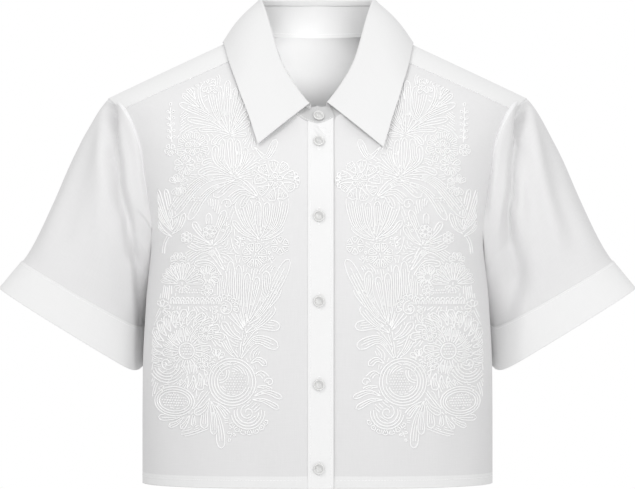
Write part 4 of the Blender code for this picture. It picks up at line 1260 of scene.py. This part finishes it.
# %% The leaves
# x and z of each leaf's foot, middle and tip, then its width and its veins
LEAVES = (
    # the plume under the shoulder
    (91, -107, 112, -90, 142, -76, 8, 2), (91, -107, 108, -98, 134, -92, 7, 1),
    (91, -108, 104, -104, 122, -103, 6, 1), (90, -108, 101, -111, 108, -119, 6, 1),
    (91, -106, 104, -85, 110, -60, 9, 2), (91, -106, 99, -82, 101, -58, 8, 2),
    (90, -106, 93, -80, 92, -52, 8, 2), (90, -106, 88, -84, 84, -60, 7, 1),
    (89, -106, 83, -88, 76, -70, 7, 1), (89, -107, 79, -94, 71, -84, 7, 1),
    (88, -108, 78, -102, 69, -95, 6, 1), (88, -110, 80, -109, 72, -108, 5, 1),
    (121, -80, 130, -74, 139, -66, 6, 1), (125, -72, 131, -64, 138, -57, 6, 1),
    (127, -62, 131, -54, 130, -47, 6, 1),
    # the bud below it
    (86, -150, 103, -136, 104, -120, 8, 1), (86, -150, 97, -134, 97, -113, 8, 2),
    (86, -150, 88, -134, 89, -112, 7, 1), (86, -150, 80, -134, 82, -114, 7, 1),
    (83, -150, 77, -138, 73, -122, 8, 2), (83, -150, 74, -140, 65, -128, 7, 1),
    (82, -151, 70, -145, 59, -139, 7, 1), (80, -153, 70, -152, 60, -150, 6, 1),
    (64, -122, 52, -132, 42, -114, 8, 2),
    # the long leaf that sweeps outwards, and the shell under it
    (84, -151, 119, -157, 152, -193, 14, 4), (84, -155, 112, -168, 132, -196, 9, 2),
    (61, -172, 84, -157, 106, -172, 12, 3), (61, -173, 78, -168, 92, -180, 10, 2),
    (61, -174, 70, -172, 78, -184, 7, 1), (90, -150, 108, -144, 122, -149, 7, 1),
    (92, -147, 108, -136, 118, -139, 6, 1),
    # the heart of leaves at the middle
    (59, -216, 73, -200, 82, -178, 9, 2), (59, -216, 66, -196, 71, -175, 8, 2),
    (59, -216, 60, -196, 61, -177, 8, 2), (59, -216, 53, -198, 51, -178, 8, 2),
    (59, -216, 46, -200, 41, -174, 8, 2), (59, -216, 39, -202, 31, -172, 9, 2),
    (59, -216, 75, -209, 86, -197, 6, 1), (59, -217, 46, -212, 35, -203, 7, 1),
    # the sprig by the side seam
    (149, -206, 157, -190, 166, -163, 6, 1), (149, -206, 151, -188, 156, -164, 6, 1),
    (149, -208, 160, -196, 168, -178, 5, 1), (150, -213, 160, -206, 169, -192, 5, 1),
    (149, -206, 144, -192, 146, -172, 6, 1), (149, -210, 141, -203, 136, -189, 6, 1),
    # the spray between them
    (107, -221, 110, -206, 111, -189, 7, 2), (107, -221, 119, -210, 127, -198, 7, 1),
    (107, -222, 121, -217, 137, -211, 7, 1), (107, -221, 102, -206, 94, -186, 8, 2),
    (106, -222, 95, -214, 88, -202, 6, 1), (107, -224, 120, -226, 134, -220, 6, 1),
    # the arch and the leaves below it
    (95, -247, 116, -226, 154, -250, 12, 3), (96, -240, 110, -226, 128, -222, 7, 1),
    (98, -252, 110, -240, 126, -241, 7, 1),
    # the upright plume
    (76, -308, 97, -280, 96, -246, 10, 3), (75, -306, 88, -272, 88, -238, 9, 2),
    (74, -304, 80, -274, 80, -242, 8, 2), (73, -303, 73, -276, 71, -250, 8, 2),
    (72, -303, 65, -274, 61, -254, 8, 2), (71, -302, 54, -272, 52, -248, 10, 3),
    (70, -302, 54, -284, 29, -236, 13, 3), (71, -304, 54, -286, 38, -264, 11, 3),
    (73, -311, 57, -300, 44, -284, 10, 2), (76, -324, 62, -304, 38, -304, 12, 3),
    (79, -338, 63, -318, 40, -325, 12, 3), (77, -318, 88, -312, 97, -300, 8, 1),
    (80, -338, 90, -328, 98, -312, 9, 2), (68, -342, 60, -338, 52, -344, 7, 1),
    (64, -354, 57, -352, 49, -361, 8, 1), (64, -375, 52, -371, 36, -377, 6, 1),
    (66, -379, 54, -380, 39, -388, 6, 1), (63, -366, 54, -366, 45, -370, 5, 1),
    # the leaves round the big flower
    (112, -304, 104, -296, 108, -282, 8, 1), (106, -318, 100, -312, 96, -322, 8, 1),
    (108, -336, 100, -334, 94, -340, 6, 1),
    # the leaves that hang at the bottom
    (110, -378, 116, -388, 126, -394, 8, 1), (110, -379, 115, -394, 116, -409, 9, 2),
    (110, -379, 106, -398, 106, -415, 8, 2), (109, -380, 101, -402, 98, -429, 10, 2),
    (108, -381, 98, -388, 90, -398, 9, 2), (140, -397, 150, -399, 164, -399, 7, 1),
    (137, -398, 144, -404, 153, -408, 6, 1), (131, -396, 135, -404, 140, -410, 6, 1),
    (126, -392, 127, -400, 127, -407, 5, 1),
)
print("leaves:", len(LEAVES))

# %% The flowers, fans and scrolls
# the rows are in the order that each motif's function above takes them
FLOWERS = (
    (151, -124, 6, 5, 20), (134, -214, 6, 6, 0), (114, -312, 8, 6, 10), (118, -343, 6, 5, 10),
    (113, -268, 6, 5, 10),
)
RINGS = (
    (134, -330, 8, 8, 0, 360), (87, -361, 24, 24, 0, 360), (87, -361, 21, 21, 0, 360),
    (87, -361, 18, 18, 195, 450), (87, -361, 15, 15, 200, 440), (100, -352, 10, 10, 0, 360),
    (100, -352, 7.5, 7.5, 0, 360), (147, -382, 21, 15, 0, 360), (147, -382, 18.5, 12.5, 0, 360),
    (147, -382, 16, 10, 0, 360), (155, -343, 11, 11, 180, 330), (155, -343, 14, 14, 190, 330),
    (155, -343, 17, 17, 200, 330), (155, -343, 20, 20, 210, 325), (71, -392, 11, 11, 180, 380),
    (71, -392, 14, 14, 170, 370), (71, -392, 17, 17, 175, 350),
)
SCALLOPS = tuple((102 + 5.2 * i, -282, *size, 0, 180) for size in ((2.6, 7), (1.1, 4)) for i in range(10))
KNOTS = (
    (134, -330, 6, 6), (147, -382, 13, 7), (83, -363, 11, 11), (100, -352, 5.5, 5.5), (128, -270, 12, 3),
    (124, -176, 5, 3), (116, -130, 4, 4),
)
SCROLLS = (
    (94, -286, 8, 90, 1.2), (71, -392, 8, 70, -1.2), (155, -343, 8, 180, 1.0),
    (49, -361, 5, 0, 1.0), (92, -180, 6, 0, 1.1),
)
PETALS = (
    (128, -122, 2, 8, 6, 0, 360, 0), (128, -122, 8, 17, 12, -60, 250, 0), (136, -140, 2, 11, 8, 0, 360, 0),
    (143, -160, 3, 11, 8, 20, 320, 0), (43, -156, 8, 21, 9, 100, 460, 6), (43, -156, 2, 8, 6, 0, 360, 0),
    (26, -156, 3, 9, 6, 70, 290, 0), (58, -150, 2, 9, 5, 0, 200, 0), (139, -262, 5, 23, 11, 2, 180, 0),
    (139, -262, 3, 9, 6, 190, 350, 0), (134, -330, 26, 42, 22, 205, 515, 12),
    (134, -330, 8, 26, 14, 0, 360, 10), (94, -286, 8, 14, 9, -30, 200, 0), (112, -254, 3, 12, 10, 0, 360, 8),
    (148, -302, 4, 14, 9, 10, 200, 0), (104, -338, 3, 11, 8, 60, 330, 0), (118, -300, 3, 10, 8, 0, 360, 0),
    (150, -360, 10, 17, 9, 180, 330, 0), (110, -208, 2, 7, 7, 0, 360, 0), (143, -238, 2, 9, 8, 0, 360, 0),
    (64, -232, 4, 13, 8, 0, 360, 0), (38, -222, 3, 9, 6, 0, 360, 0), (160, -287, 2, 9, 6, 40, 260, 0),
    (113, -57, 2, 8, 6, 60, 330, 0), (71, -392, 17, 23, 7, 200, 330, 0), (116, -62, 8, 13, 7, 20, 200, 0),
)
SPRIGS = (
    (150, -116, 88, 36, 5, 5), (128, -180, 70, 18, 3, 5), (94, -212, 96, 14, 2, 5), (46, -240, 60, 14, 2, 5),
    (80, -226, 100, 22, 3, 5), (130, -250, 20, 18, 3, 4), (84, -404, -70, 14, 2, 5),
)
STEMS = (
    ((91, -107), (119, -82), (128, -62), (119, -45), (103, -47), (102, -58)),
    ((91, -107), (114, -84), (122, -64), (116, -51), (107, -52), (106, -58)),
    ((88, -110), (80, -130), (86, -151), (72, -158), (61, -173), (58, -196), (59, -216), (66, -250),
     (74, -306)),
    ((74, -306), (77, -324), (80, -339), (97, -345)),
    ((149, -206), (157, -219), (159, -230)),
    ((107, -221), (99, -236), (94, -246)),
    ((131, -395), (122, -385), (111, -371)),
    ((62, -228), (72, -224), (84, -214)),
)
MOTIFS = (
    (flower_strokes, FLOWERS), (ring_strokes, RINGS + SCALLOPS), (knot_strokes, KNOTS),
    (scroll_strokes, SCROLLS), (petal_strokes, PETALS), (leaf_strokes, LEAVES), (sprig_strokes, SPRIGS),
    (stem_strokes, STEMS),
)
print("rows:", {draw.__name__: len(rows) for draw, rows in MOTIFS})

# %% [markdown]
# Laid on the cloth, each stroke becomes a curve whose places come from the body's form, a little proud of it.
# A round bevel makes it a thread. Hundreds of curves in one object stay quick to build, and they become a
# mesh at the end, in three parts a side, so that no part is too heavy. The room for stitches ends short of the
# band, the side, the armhole and the yoke.

# %% The embroidery on the cloth
THREAD_LIFT = 0.75
STROKE_CLEAR = 1.15
GROUND = table(
    "z inner outer",
    (-410, 88, 140), (-396, 62, 160), (-380, 58, 170), (-359, 60, 173), (-329, 58, 173), (-298, 56, 168),
    (-267, 50, 160), (-245, 44, 150), (-225, 40, 108), (-200, 36, 98), (-180, 32, 112), (-160, 24, 142),
    (-145, 40, 145), (-125, 58, 148), (-104, 68, 142), (-79, 72, 140), (-63, 84, 133), (-48, 100, 122),
)
MIDDLES = (
    (134, -330), (87, -361), (147, -382), (70, -300), (112, -256), (43, -156), (60, -205), (128, -122),
    (92, -95),
)
FLOW_REACH = 200
GROUND_CLEAR = 1.9
GROUND_STEP = 1.7
GROUND_STEPS = 14
ground_inner = column(GROUND, "z", "inner", 1)
ground_outer = column(GROUND, "z", "outer", 1)
PARTS = (("upper", 0, -196), ("middle", -196, -310), ("lower", -310, -500))
BAND_CLEAR = 17.5
SIDE_CLEAR = 3
ROOM_MOST = 171.5
YOKE_CLEAR = (-41.0, 0.46, 92.0)
ROOM_HEIGHTS = (-221, -150, -100, -82)
ROOM_WIDTHS = (164, 165, 178, 184)


def memory(square, clear):
    """Two functions: claim(places) keeps places, and free(x, z) tells whether no kept one lies near."""
    kept = {}

    def square_of(x, z):
        return int(x // square), int(z // square)

    def claim(places):
        for x, z in places:
            kept.setdefault(square_of(x, z), []).append((x, z))

    def free(x, z):
        i, j = square_of(x, z)
        around = [(a, b) for a in range(i - 1, i + 2) for b in range(j - 1, j + 2)]
        return all(math.hypot(x - a, z - b) > clear for key in around for a, b in kept.get(key, ()))

    return claim, free


def parted(strokes):
    """The strokes with a gap wherever an earlier one already lies, so that threads never pile up."""
    claim, free = memory(STROKE_CLEAR, STROKE_CLEAR)
    parts = []
    for stroke in strokes:
        lines = [[]]
        for x, z in stroke.points:
            if free(x, z):
                lines[-1].append((x, z))
            else:
                lines.append([])
        for line in lines:
            if len(line) > 1:
                parts.append(Stroke(np.array(line), stroke.thick))
                claim(line)
    return parts


def inside_front(x, z):
    """True where the front has room for a stitch."""
    if z > ROOM_HEIGHTS[0]:
        outer = float(np.interp(z, ROOM_HEIGHTS, ROOM_WIDTHS))
    else:
        outer = half_width(z * MM) / MM - SIDE_CLEAR
    top, slope, corner = YOKE_CLEAR
    return BAND_CLEAR < x < min(outer, ROOM_MOST) and z < top - slope * max(x - corner, 0)


def flow(x, z):
    """The direction round the middles. The nearer ones count most."""
    pulls = [(x - a, z - b, 1 / (1 + ((x - a) ** 2 + (z - b) ** 2) / FLOW_REACH) ** 2) for a, b in MIDDLES]
    turn = sum(-dz * pull for _, dz, pull in pulls), sum(dx * pull for dx, _, pull in pulls)
    return Vector(turn).normalized()


def ground_strokes(strokes):
    """Lines that curl round the nearest middles, through the ground that the motifs leave bare."""
    claim, unclaimed = memory(LINE_GAP, GROUND_CLEAR)

    def free(x, z):
        return ground_inner(z) < x < ground_outer(z) and inside_front(x, z) and unclaimed(x, z)

    for stroke in strokes:
        claim(stroke.points)
    lines = []
    for z in np.arange(GROUND[0].z, GROUND[-1].z, LINE_GAP):
        for x in np.arange(ground_inner(z), ground_outer(z), LINE_GAP):
            if not free(x, z):
                continue
            line = [(x, z)]
            for way in (1, -1):
                at = Vector((x, z))
                for _ in range(GROUND_STEPS):
                    at = at + flow(*at) * way * GROUND_STEP
                    if not free(*at):
                        break
                    line.insert(len(line) if way > 0 else 0, (at.x, at.y))
            if len(line) > 2:
                lines.append(Stroke(np.array(line), VEIN))
                claim(line)
    return lines


def threads(name, lines, roundness=1):
    """One piece of round threads. Each line is its places and their radius."""
    curve = bpy.data.curves.new(name, "CURVE")
    curve.dimensions = "3D"
    curve.bevel_depth = MM
    curve.bevel_resolution = roundness
    curve.use_fill_caps = True
    for places, thick in lines:
        spline = curve.splines.new("POLY")
        spline.points.add(len(places) - 1)
        for target, place in zip(spline.points, places):
            target.co = (*place, 1)
            target.radius = thick
    drawn = add_object(name, curve)
    bpy.context.view_layer.update()
    mesh = bpy.data.meshes.new_from_object(drawn.evaluated_get(bpy.context.evaluated_depsgraph_get()))
    bpy.data.objects.remove(drawn)
    mesh.name = name
    mesh.materials.clear()
    mesh.materials.append(bpy.data.materials["thread"])
    mesh.shade_smooth()
    piece = add_object(name, mesh)
    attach(piece, "root")
    return piece


def on_front(stroke, side):
    """A stroke's places on the cloth of a front, and its thickness."""
    places = []
    for x, z in stroke.points:
        if inside_front(x, z):
            lift = stroke.thick * THREAD_LIFT * MM + proud_of(side * x * MM, side)
            places.append(form_point(side * x * MM, z * MM, "front", lift))
    return places, stroke.thick


strokes = parted([stroke for draw, rows in MOTIFS for row in rows for stroke in draw(*row)])
ground = ground_strokes(strokes)
print("strokes:", len(strokes), "and", len(ground), "in the ground")
strokes += ground
embroidery = {}
for hand, side in HANDS:
    for part, top, bottom in PARTS:
        chosen = [on_front(stroke, side) for stroke in strokes if bottom <= stroke.points[0][1] < top]
        lines = [(places, thick) for places, thick in chosen if len(places) > 1]
        embroidery[hand, part] = threads(f"embroidery_{hand}_{part}", lines)
print("embroidery:", {name: len(piece.data.polygons) for name, piece in embroidery.items()}, "faces")

# %% [markdown]
# ## The stitching
#
# A row of topstitching is made of short threads that rise in their middle and dip into the cloth at their
# ends. Each row runs straight across a piece's own grid, so the same place functions that made the cloth carry
# it.

# %% Topstitching
STITCH_PITCH = 2.6 * MM
STITCH_RADIUS = 0.24
STITCH_RISE = 0.12 * MM
STITCH_FORM = ((0.08, -0.6), (0.28, 0.8), (0.62, 0.8), (0.82, -0.6))
ROW_SAMPLES = 24
HEM_STITCH_IN = 1.2 * MM
NORMAL_SHARE = 0.002


def above(place, u, v, height):
    """A point of a place function, moved out along the cloth's normal."""
    across = place(min(u + NORMAL_SHARE, 1), v) - place(max(u - NORMAL_SHARE, 0), v)
    up = place(u, min(v + NORMAL_SHARE, 1)) - place(u, max(v - NORMAL_SHARE, 0))
    return place(u, v) + across.cross(up).normalized() * height


def stitch_row(place, start, end, height=0.0):
    """Stitches in a straight row across a piece's grid, from one (u, v) to another."""

    def at(share):
        return mix(start[0], end[0], share), mix(start[1], end[1], share)

    sampled = [place(*at(i / ROW_SAMPLES)) for i in range(ROW_SAMPLES + 1)]
    length = sum((b - a).length for a, b in zip(sampled, sampled[1:]))
    count = max(int(length / STITCH_PITCH), 1)
    lines = []
    for i in range(count):
        places = []
        for part, rise in STITCH_FORM:
            lift = height + rise * STITCH_RISE * (-1 if height < 0 else 1)
            places.append(above(place, *at((i + part) / count), lift))
        lines.append((places, STITCH_RADIUS))
    return lines


HEM_ROW = UNDERARM_ROW * (HEM_DEPTH - HEM_STITCH_IN) / (UNDERARM_Z - HEM_Z)
ROWS = {
    "bands": [(outer_place, (share, 0.004), (share, 0.985)) for share in (0.09, 0.91)],
    "hems": [(front_place(side), (0.02, HEM_ROW), (0.98, HEM_ROW)) for side in (-1, 1)]
    + [(back_place, (0.01, HEM_ROW), (0.99, HEM_ROW))],
    "yoke": [(yoke_place, (0.003, 0.01), (0.003, 0.99)), (yoke_place, (0.997, 0.01), (0.997, 0.99)),
             (yoke_place, (0.22, 0.014), (0.78, 0.014)), (yoke_place, (0.22, 0.05), (0.78, 0.05)),
             (yoke_place, (0.1, 0.02), (0.212, 0.02)), (yoke_place, (0.788, 0.02), (0.9, 0.02))],
    "armholes": [(sleeve_place(side, 0, 1, 0), (0.01, 0.02), (0.99, 0.02)) for side in (-1, 1)],
    "cuffs": [
        (sleeve_place(side, CUFF_SHARE, 1, CUFF_PROUD), (0.005, 0.06), (0.995, 0.06)) for side in (-1, 1)
    ],
    "stand": [(stand_place, (0.84, 0.1), (0.993, 0.1)), (stand_place, (0.1, 0.12), (0.9, 0.12), -DOUBLE)],
}
stitching = {}
for name, rows in ROWS.items():
    lines = [line for row in rows for line in stitch_row(*row)]
    stitching[name] = threads(f"stitching_{name}", lines, roundness=0)
print("stitching:", {name: len(piece.data.polygons) for name, piece in stitching.items()}, "faces")

# %% [markdown]
# ## The buttons
#
# Each button has a raised rim, a dished face and four holes. A five by five grid gives the face: four of its
# cells are widened and pushed down as holes, and its square outline is bridged to a ring that is then drawn
# out over the rim and round to the back. The subdivision that follows turns the square holes round. A number
# kept at each point says how much painted shade darkens it: the holes, their edges, the groove inside the rim
# and the rim's foot.
# Two threads cross the holes, and a bound buttonhole lies under each button.

# %% The buttons
BUTTON_X = 1.5
BUTTON_HEIGHTS = (-116.0, -192.0, -278.5, -363.5, -449.0)
STAND_BUTTON = (362.0, 0.42)
FACE_HEIGHT = 1.5
FOOT_SHADE_BELOW = 1.7
FACE_RING = 4.3
HOLE = 1.2
HOLE_WIDTH = 1.8
HOLE_DEPTH = 1.6
RIM = ((4.7, 2.9), (5.2, 3.0), (5.7, 2.5), (6.0, 1.6), (4.8, 0.9))
# painted shade, as shares of the holes' dark colour: the groove inside the rim, the rim's foot below 1.7 mm, and
# the holes' edges
GROOVE_PAINTED_SHADE = 0.4
FOOT_PAINTED_SHADE = 0.35
HOLE_EDGE_PAINTED_SHADE = 0.35
RIM_STEPS = 20
BAR_LOW = 0.9
BAR_HIGH = 1.75
BAR_RADIUS = 0.16
BUTTONHOLE_LENGTH = 15.0
BUTTONHOLE_RADIUS = 0.45


def button_shape():
    """A button drawn in millimetres, its back at 0 and its face towards z."""
    shape = bmesh.new()
    # each point keeps how much painted shade darkens it: in the holes, the groove and at the rim's foot
    painted_shade = shape.verts.layers.float.new("painted_shade")
    bmesh.ops.create_grid(shape, x_segments=5, y_segments=5, size=2.5 * HOLE)
    border = [edge for edge in shape.edges if edge.is_boundary]
    middles = [(face, face.calc_center_median()) for face in shape.faces]
    holes = [face for face, c in middles if abs(abs(c.x) - HOLE) < 0.1 and abs(abs(c.y) - HOLE) < 0.1]
    for face in holes:
        centred = Matrix.Translation(-face.calc_center_median())
        bmesh.ops.scale(shape, verts=face.verts, vec=(HOLE_WIDTH / HOLE, HOLE_WIDTH / HOLE, 1), space=centred)
        for vert in face.verts:
            vert[painted_shade] = HOLE_EDGE_PAINTED_SHADE
    sunk = bmesh.ops.extrude_discrete_faces(shape, faces=holes)["faces"]
    verts = [vert for face in sunk for vert in face.verts]
    bmesh.ops.translate(shape, verts=verts, vec=(0, 0, -HOLE_DEPTH))
    for vert in verts:
        vert[painted_shade] = 1.0
    ring = bmesh.ops.create_circle(shape, segments=RIM_STEPS, radius=FACE_RING)["verts"]
    for vert in ring:
        vert[painted_shade] = GROOVE_PAINTED_SHADE
    ring_edges = [edge for edge in shape.edges if all(vert in ring for vert in edge.verts)]
    bmesh.ops.bridge_loops(shape, edges=border + ring_edges)
    bmesh.ops.translate(shape, verts=shape.verts, vec=(0, 0, FACE_HEIGHT))
    radius, height, loop = FACE_RING, FACE_HEIGHT, ring_edges
    for next_radius, next_height in RIM:
        made = bmesh.ops.extrude_edge_only(shape, edges=loop)["geom"]
        verts = [part for part in made if isinstance(part, bmesh.types.BMVert)]
        grown = next_radius / radius
        bmesh.ops.scale(shape, verts=verts, vec=(grown, grown, 1))
        bmesh.ops.translate(shape, verts=verts, vec=(0, 0, next_height - height))
        for vert in verts:
            vert[painted_shade] = FOOT_PAINTED_SHADE if next_height < FOOT_SHADE_BELOW else 0.0
        loop = [part for part in made if isinstance(part, bmesh.types.BMEdge) and part.is_boundary]
        radius, height = next_radius, next_height
    bmesh.ops.edgeloop_fill(shape, edges=loop)
    bmesh.ops.recalc_face_normals(shape, faces=shape.faces)
    return shape


def upright(place, out, up):
    """The transform that stands a shape drawn in millimetres on the cloth."""
    out = out.normalized()
    across = up.cross(out).normalized()
    turned = Matrix((across, out.cross(across), out)).transposed().to_4x4()
    return Matrix.Translation(place) @ turned @ Matrix.Scale(MM, 4)


def add_button(node, where):
    """A button set on the cloth, and the two bars of thread that hold it."""
    shape = button_shape()
    bmesh.ops.transform(shape, matrix=where, verts=shape.verts)
    button = add_piece(f"{node}_detailed", shape, "shell", node)
    rounding = button.modifiers.new("Rounding", "SUBSURF")
    rounding.levels = rounding.render_levels = 1
    bars = []
    for x in (-HOLE, HOLE):
        stops = ((-HOLE, BAR_LOW), (-HOLE * 0.6, BAR_HIGH), (HOLE * 0.6, BAR_HIGH), (HOLE, BAR_LOW))
        bars.append(([where @ Vector((x, y, z)) for y, z in stops], BAR_RADIUS))
    return button, bars


def band_point(x, z):
    """A place on the outer band, x and z in millimetres."""
    return form_point(x * MM, z * MM, "front", LAYER_STEP + BAND_PROUD)


make_shell("shell")
bars, holes = [], []
buttons = []
for number, z in enumerate(BUTTON_HEIGHTS, 1):
    up = band_point(BUTTON_X, z + 1) - band_point(BUTTON_X, z - 1)
    out = (band_point(BUTTON_X + 1, z) - band_point(BUTTON_X - 1, z)).cross(up)
    button, across = add_button(f"button_{number}", upright(band_point(BUTTON_X, z), out, up))
    buttons.append(button)
    bars += across
    turns = np.linspace(0, 2 * math.pi, 25)
    edge = [(math.cos(t), math.sin(t) + math.copysign(BUTTONHOLE_LENGTH / 2, math.sin(t))) for t in turns]
    holes.append(([band_point(BUTTON_X + x, z + rise) for x, rise in edge], BUTTONHOLE_RADIUS))
angle, share = STAND_BUTTON
up = stand_point(angle, 1) - stand_point(angle, 0)
out = (stand_point(angle + 1, share) - stand_point(angle - 1, share)).cross(up)
button, across = add_button("button_stand", upright(stand_point(angle, share), out, up))
buttons.append(button)
threads("button_threads", bars + across)
threads("buttonholes", holes)
print("buttons:", [button.name for button in buttons])

# %% [markdown]
# ## Camera and light
#
# The photo was taken straight on from far away, with a long lens, so hardly anything shrinks towards the back.
# White cloth on white needs light from all sides, or its edges go grey, with a little more from above and from
# one side, so that the folds still show. Real voile lets light through to its inside, which solid cloth
# doesn't, so a small spot lamp inside the neck stands in for that.

# %% The camera
CAMERA_Y = -3.8 + RIDGE_Y
CAMERA_Z = -221.0 * MM
PHOTO_WIDTH = 635
PIXEL = 1.05
VIEW_WIDTH = PHOTO_WIDTH * PIXEL * MM
SENSOR = 36.0
camera_data = bpy.data.cameras.new("camera")
camera_data.sensor_width = SENSOR
camera_data.lens = SENSOR * (RIDGE_Y - CAMERA_Y) / VIEW_WIDTH
camera = add_object("camera", camera_data)
camera.location = (0, CAMERA_Y, CAMERA_Z)
camera.rotation_euler = (math.radians(90), 0, 0)
bpy.context.scene.camera = camera
print("lens:", round(camera_data.lens), "mm")

# %% The floor and the light
FLOOR_Z = -0.75
ROOM_LIGHT = 0.70
FLOOR_RADIUS = 3.4
disc = bmesh.new()
bmesh.ops.create_circle(disc, cap_ends=True, segments=64, radius=FLOOR_RADIUS)
bmesh.ops.translate(disc, verts=disc.verts, vec=(0, 0, FLOOR_Z))
floor = add_object("floor", mesh_from("floor", disc))
feed(*new_material("floor_white"), {"Base Color": (0.9, 0.9, 0.9, 1), "Roughness": 0.9})
floor.data.materials.append(bpy.data.materials["floor_white"])

world = bpy.data.worlds.new("soft white room")
world.use_nodes = True
room = world.node_tree
seen = add_node(room, "ShaderNodeLightPath").outputs["Is Camera Ray"]
strength = math_node(room, "MULTIPLY_ADD", seen, 1 - ROOM_LIGHT, ROOM_LIGHT)
feed(room, room.nodes["Background"], {"Color": (1, 1, 1, 1), "Strength": strength})
bpy.context.scene.world = world
bpy.context.scene.view_settings.view_transform = "Standard"



def aimed(light, place, target):
    """The object that holds a light at a place and turns it to a target."""
    holder = add_object(light.name, light)
    holder.location = place
    holder.rotation_euler = (target - Vector(place)).to_track_quat("-Z", "Y").to_euler()
    return holder


LAMPS = table(
    "name place size power",
    ("key", (-0.8, -1.4, 0.8), 0.5, 6.0),
    ("fill", (0.6, -1.8, 0.1), 0.8, 7.4),
    ("top", (0.1, 0.1, 1.3), 0.8, 3.0),
)
for lamp in LAMPS:
    light = bpy.data.lights.new(lamp.name, "AREA")
    light.size = lamp.size
    light.energy = lamp.power
    aimed(light, lamp.place, Vector((0, RIDGE_Y, CAMERA_Z)))

THROUGH_FROM = Vector((-30, -85, -85)) * MM
THROUGH_TO = Vector((-13, 10, -21)) * MM
glow = bpy.data.lights.new("light through the voile", "SPOT")
glow.energy = 0.42
glow.spot_size = math.radians(62)
glow.spot_blend = 1.0
glow.shadow_soft_size = 0.015
aimed(glow, THROUGH_FROM, THROUGH_TO).visible_camera = False
print("lamps:", [lamp.name for lamp in LAMPS], "and", glow.name)

# %% [markdown]
# ## The sheets' cut sizes
#
# Every piece of cloth is a flat piece before it is sewn. The table states the cut of each one.

# %% The cut sizes
Cut = namedtuple("Cut", "piece width length held rests_on area")
CUTS = (
    Cut(fronts["right"], 0.215, 0.48, "hung", ("yoke_cloth",), 0.088),
    Cut(fronts["left"], 0.215, 0.48, "hung", ("yoke_cloth",), 0.088),
    Cut(back, 0.50, 0.39, "hung", ("yoke_cloth",), 0.18),
    Cut(yoke, 0.46, 0.24, "draped", (), 0.062),
    Cut(outer_band, 0.0265, 0.38, "hung", (), None),
    Cut(inner_band, 0.0226, 0.38, "hung", (), None),
    Cut(stand, 0.41, 0.034, "stretched", (), None),
    Cut(leaf, 0.50, 0.085, "folded", ("collar_stand_cloth",), None),
    Cut(sleeves["right"], 0.42, 0.20, "hung", ("yoke_cloth",), 0.066),
    Cut(sleeves["left"], 0.42, 0.20, "hung", ("yoke_cloth",), 0.066),
    Cut(cuffs["right"], 0.42, 0.038, "hung", (), None),
    Cut(cuffs["left"], 0.42, 0.038, "hung", (), None),
)
for cut in CUTS:
    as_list(cut.rests_on)
print("sheets:", len(CUTS))
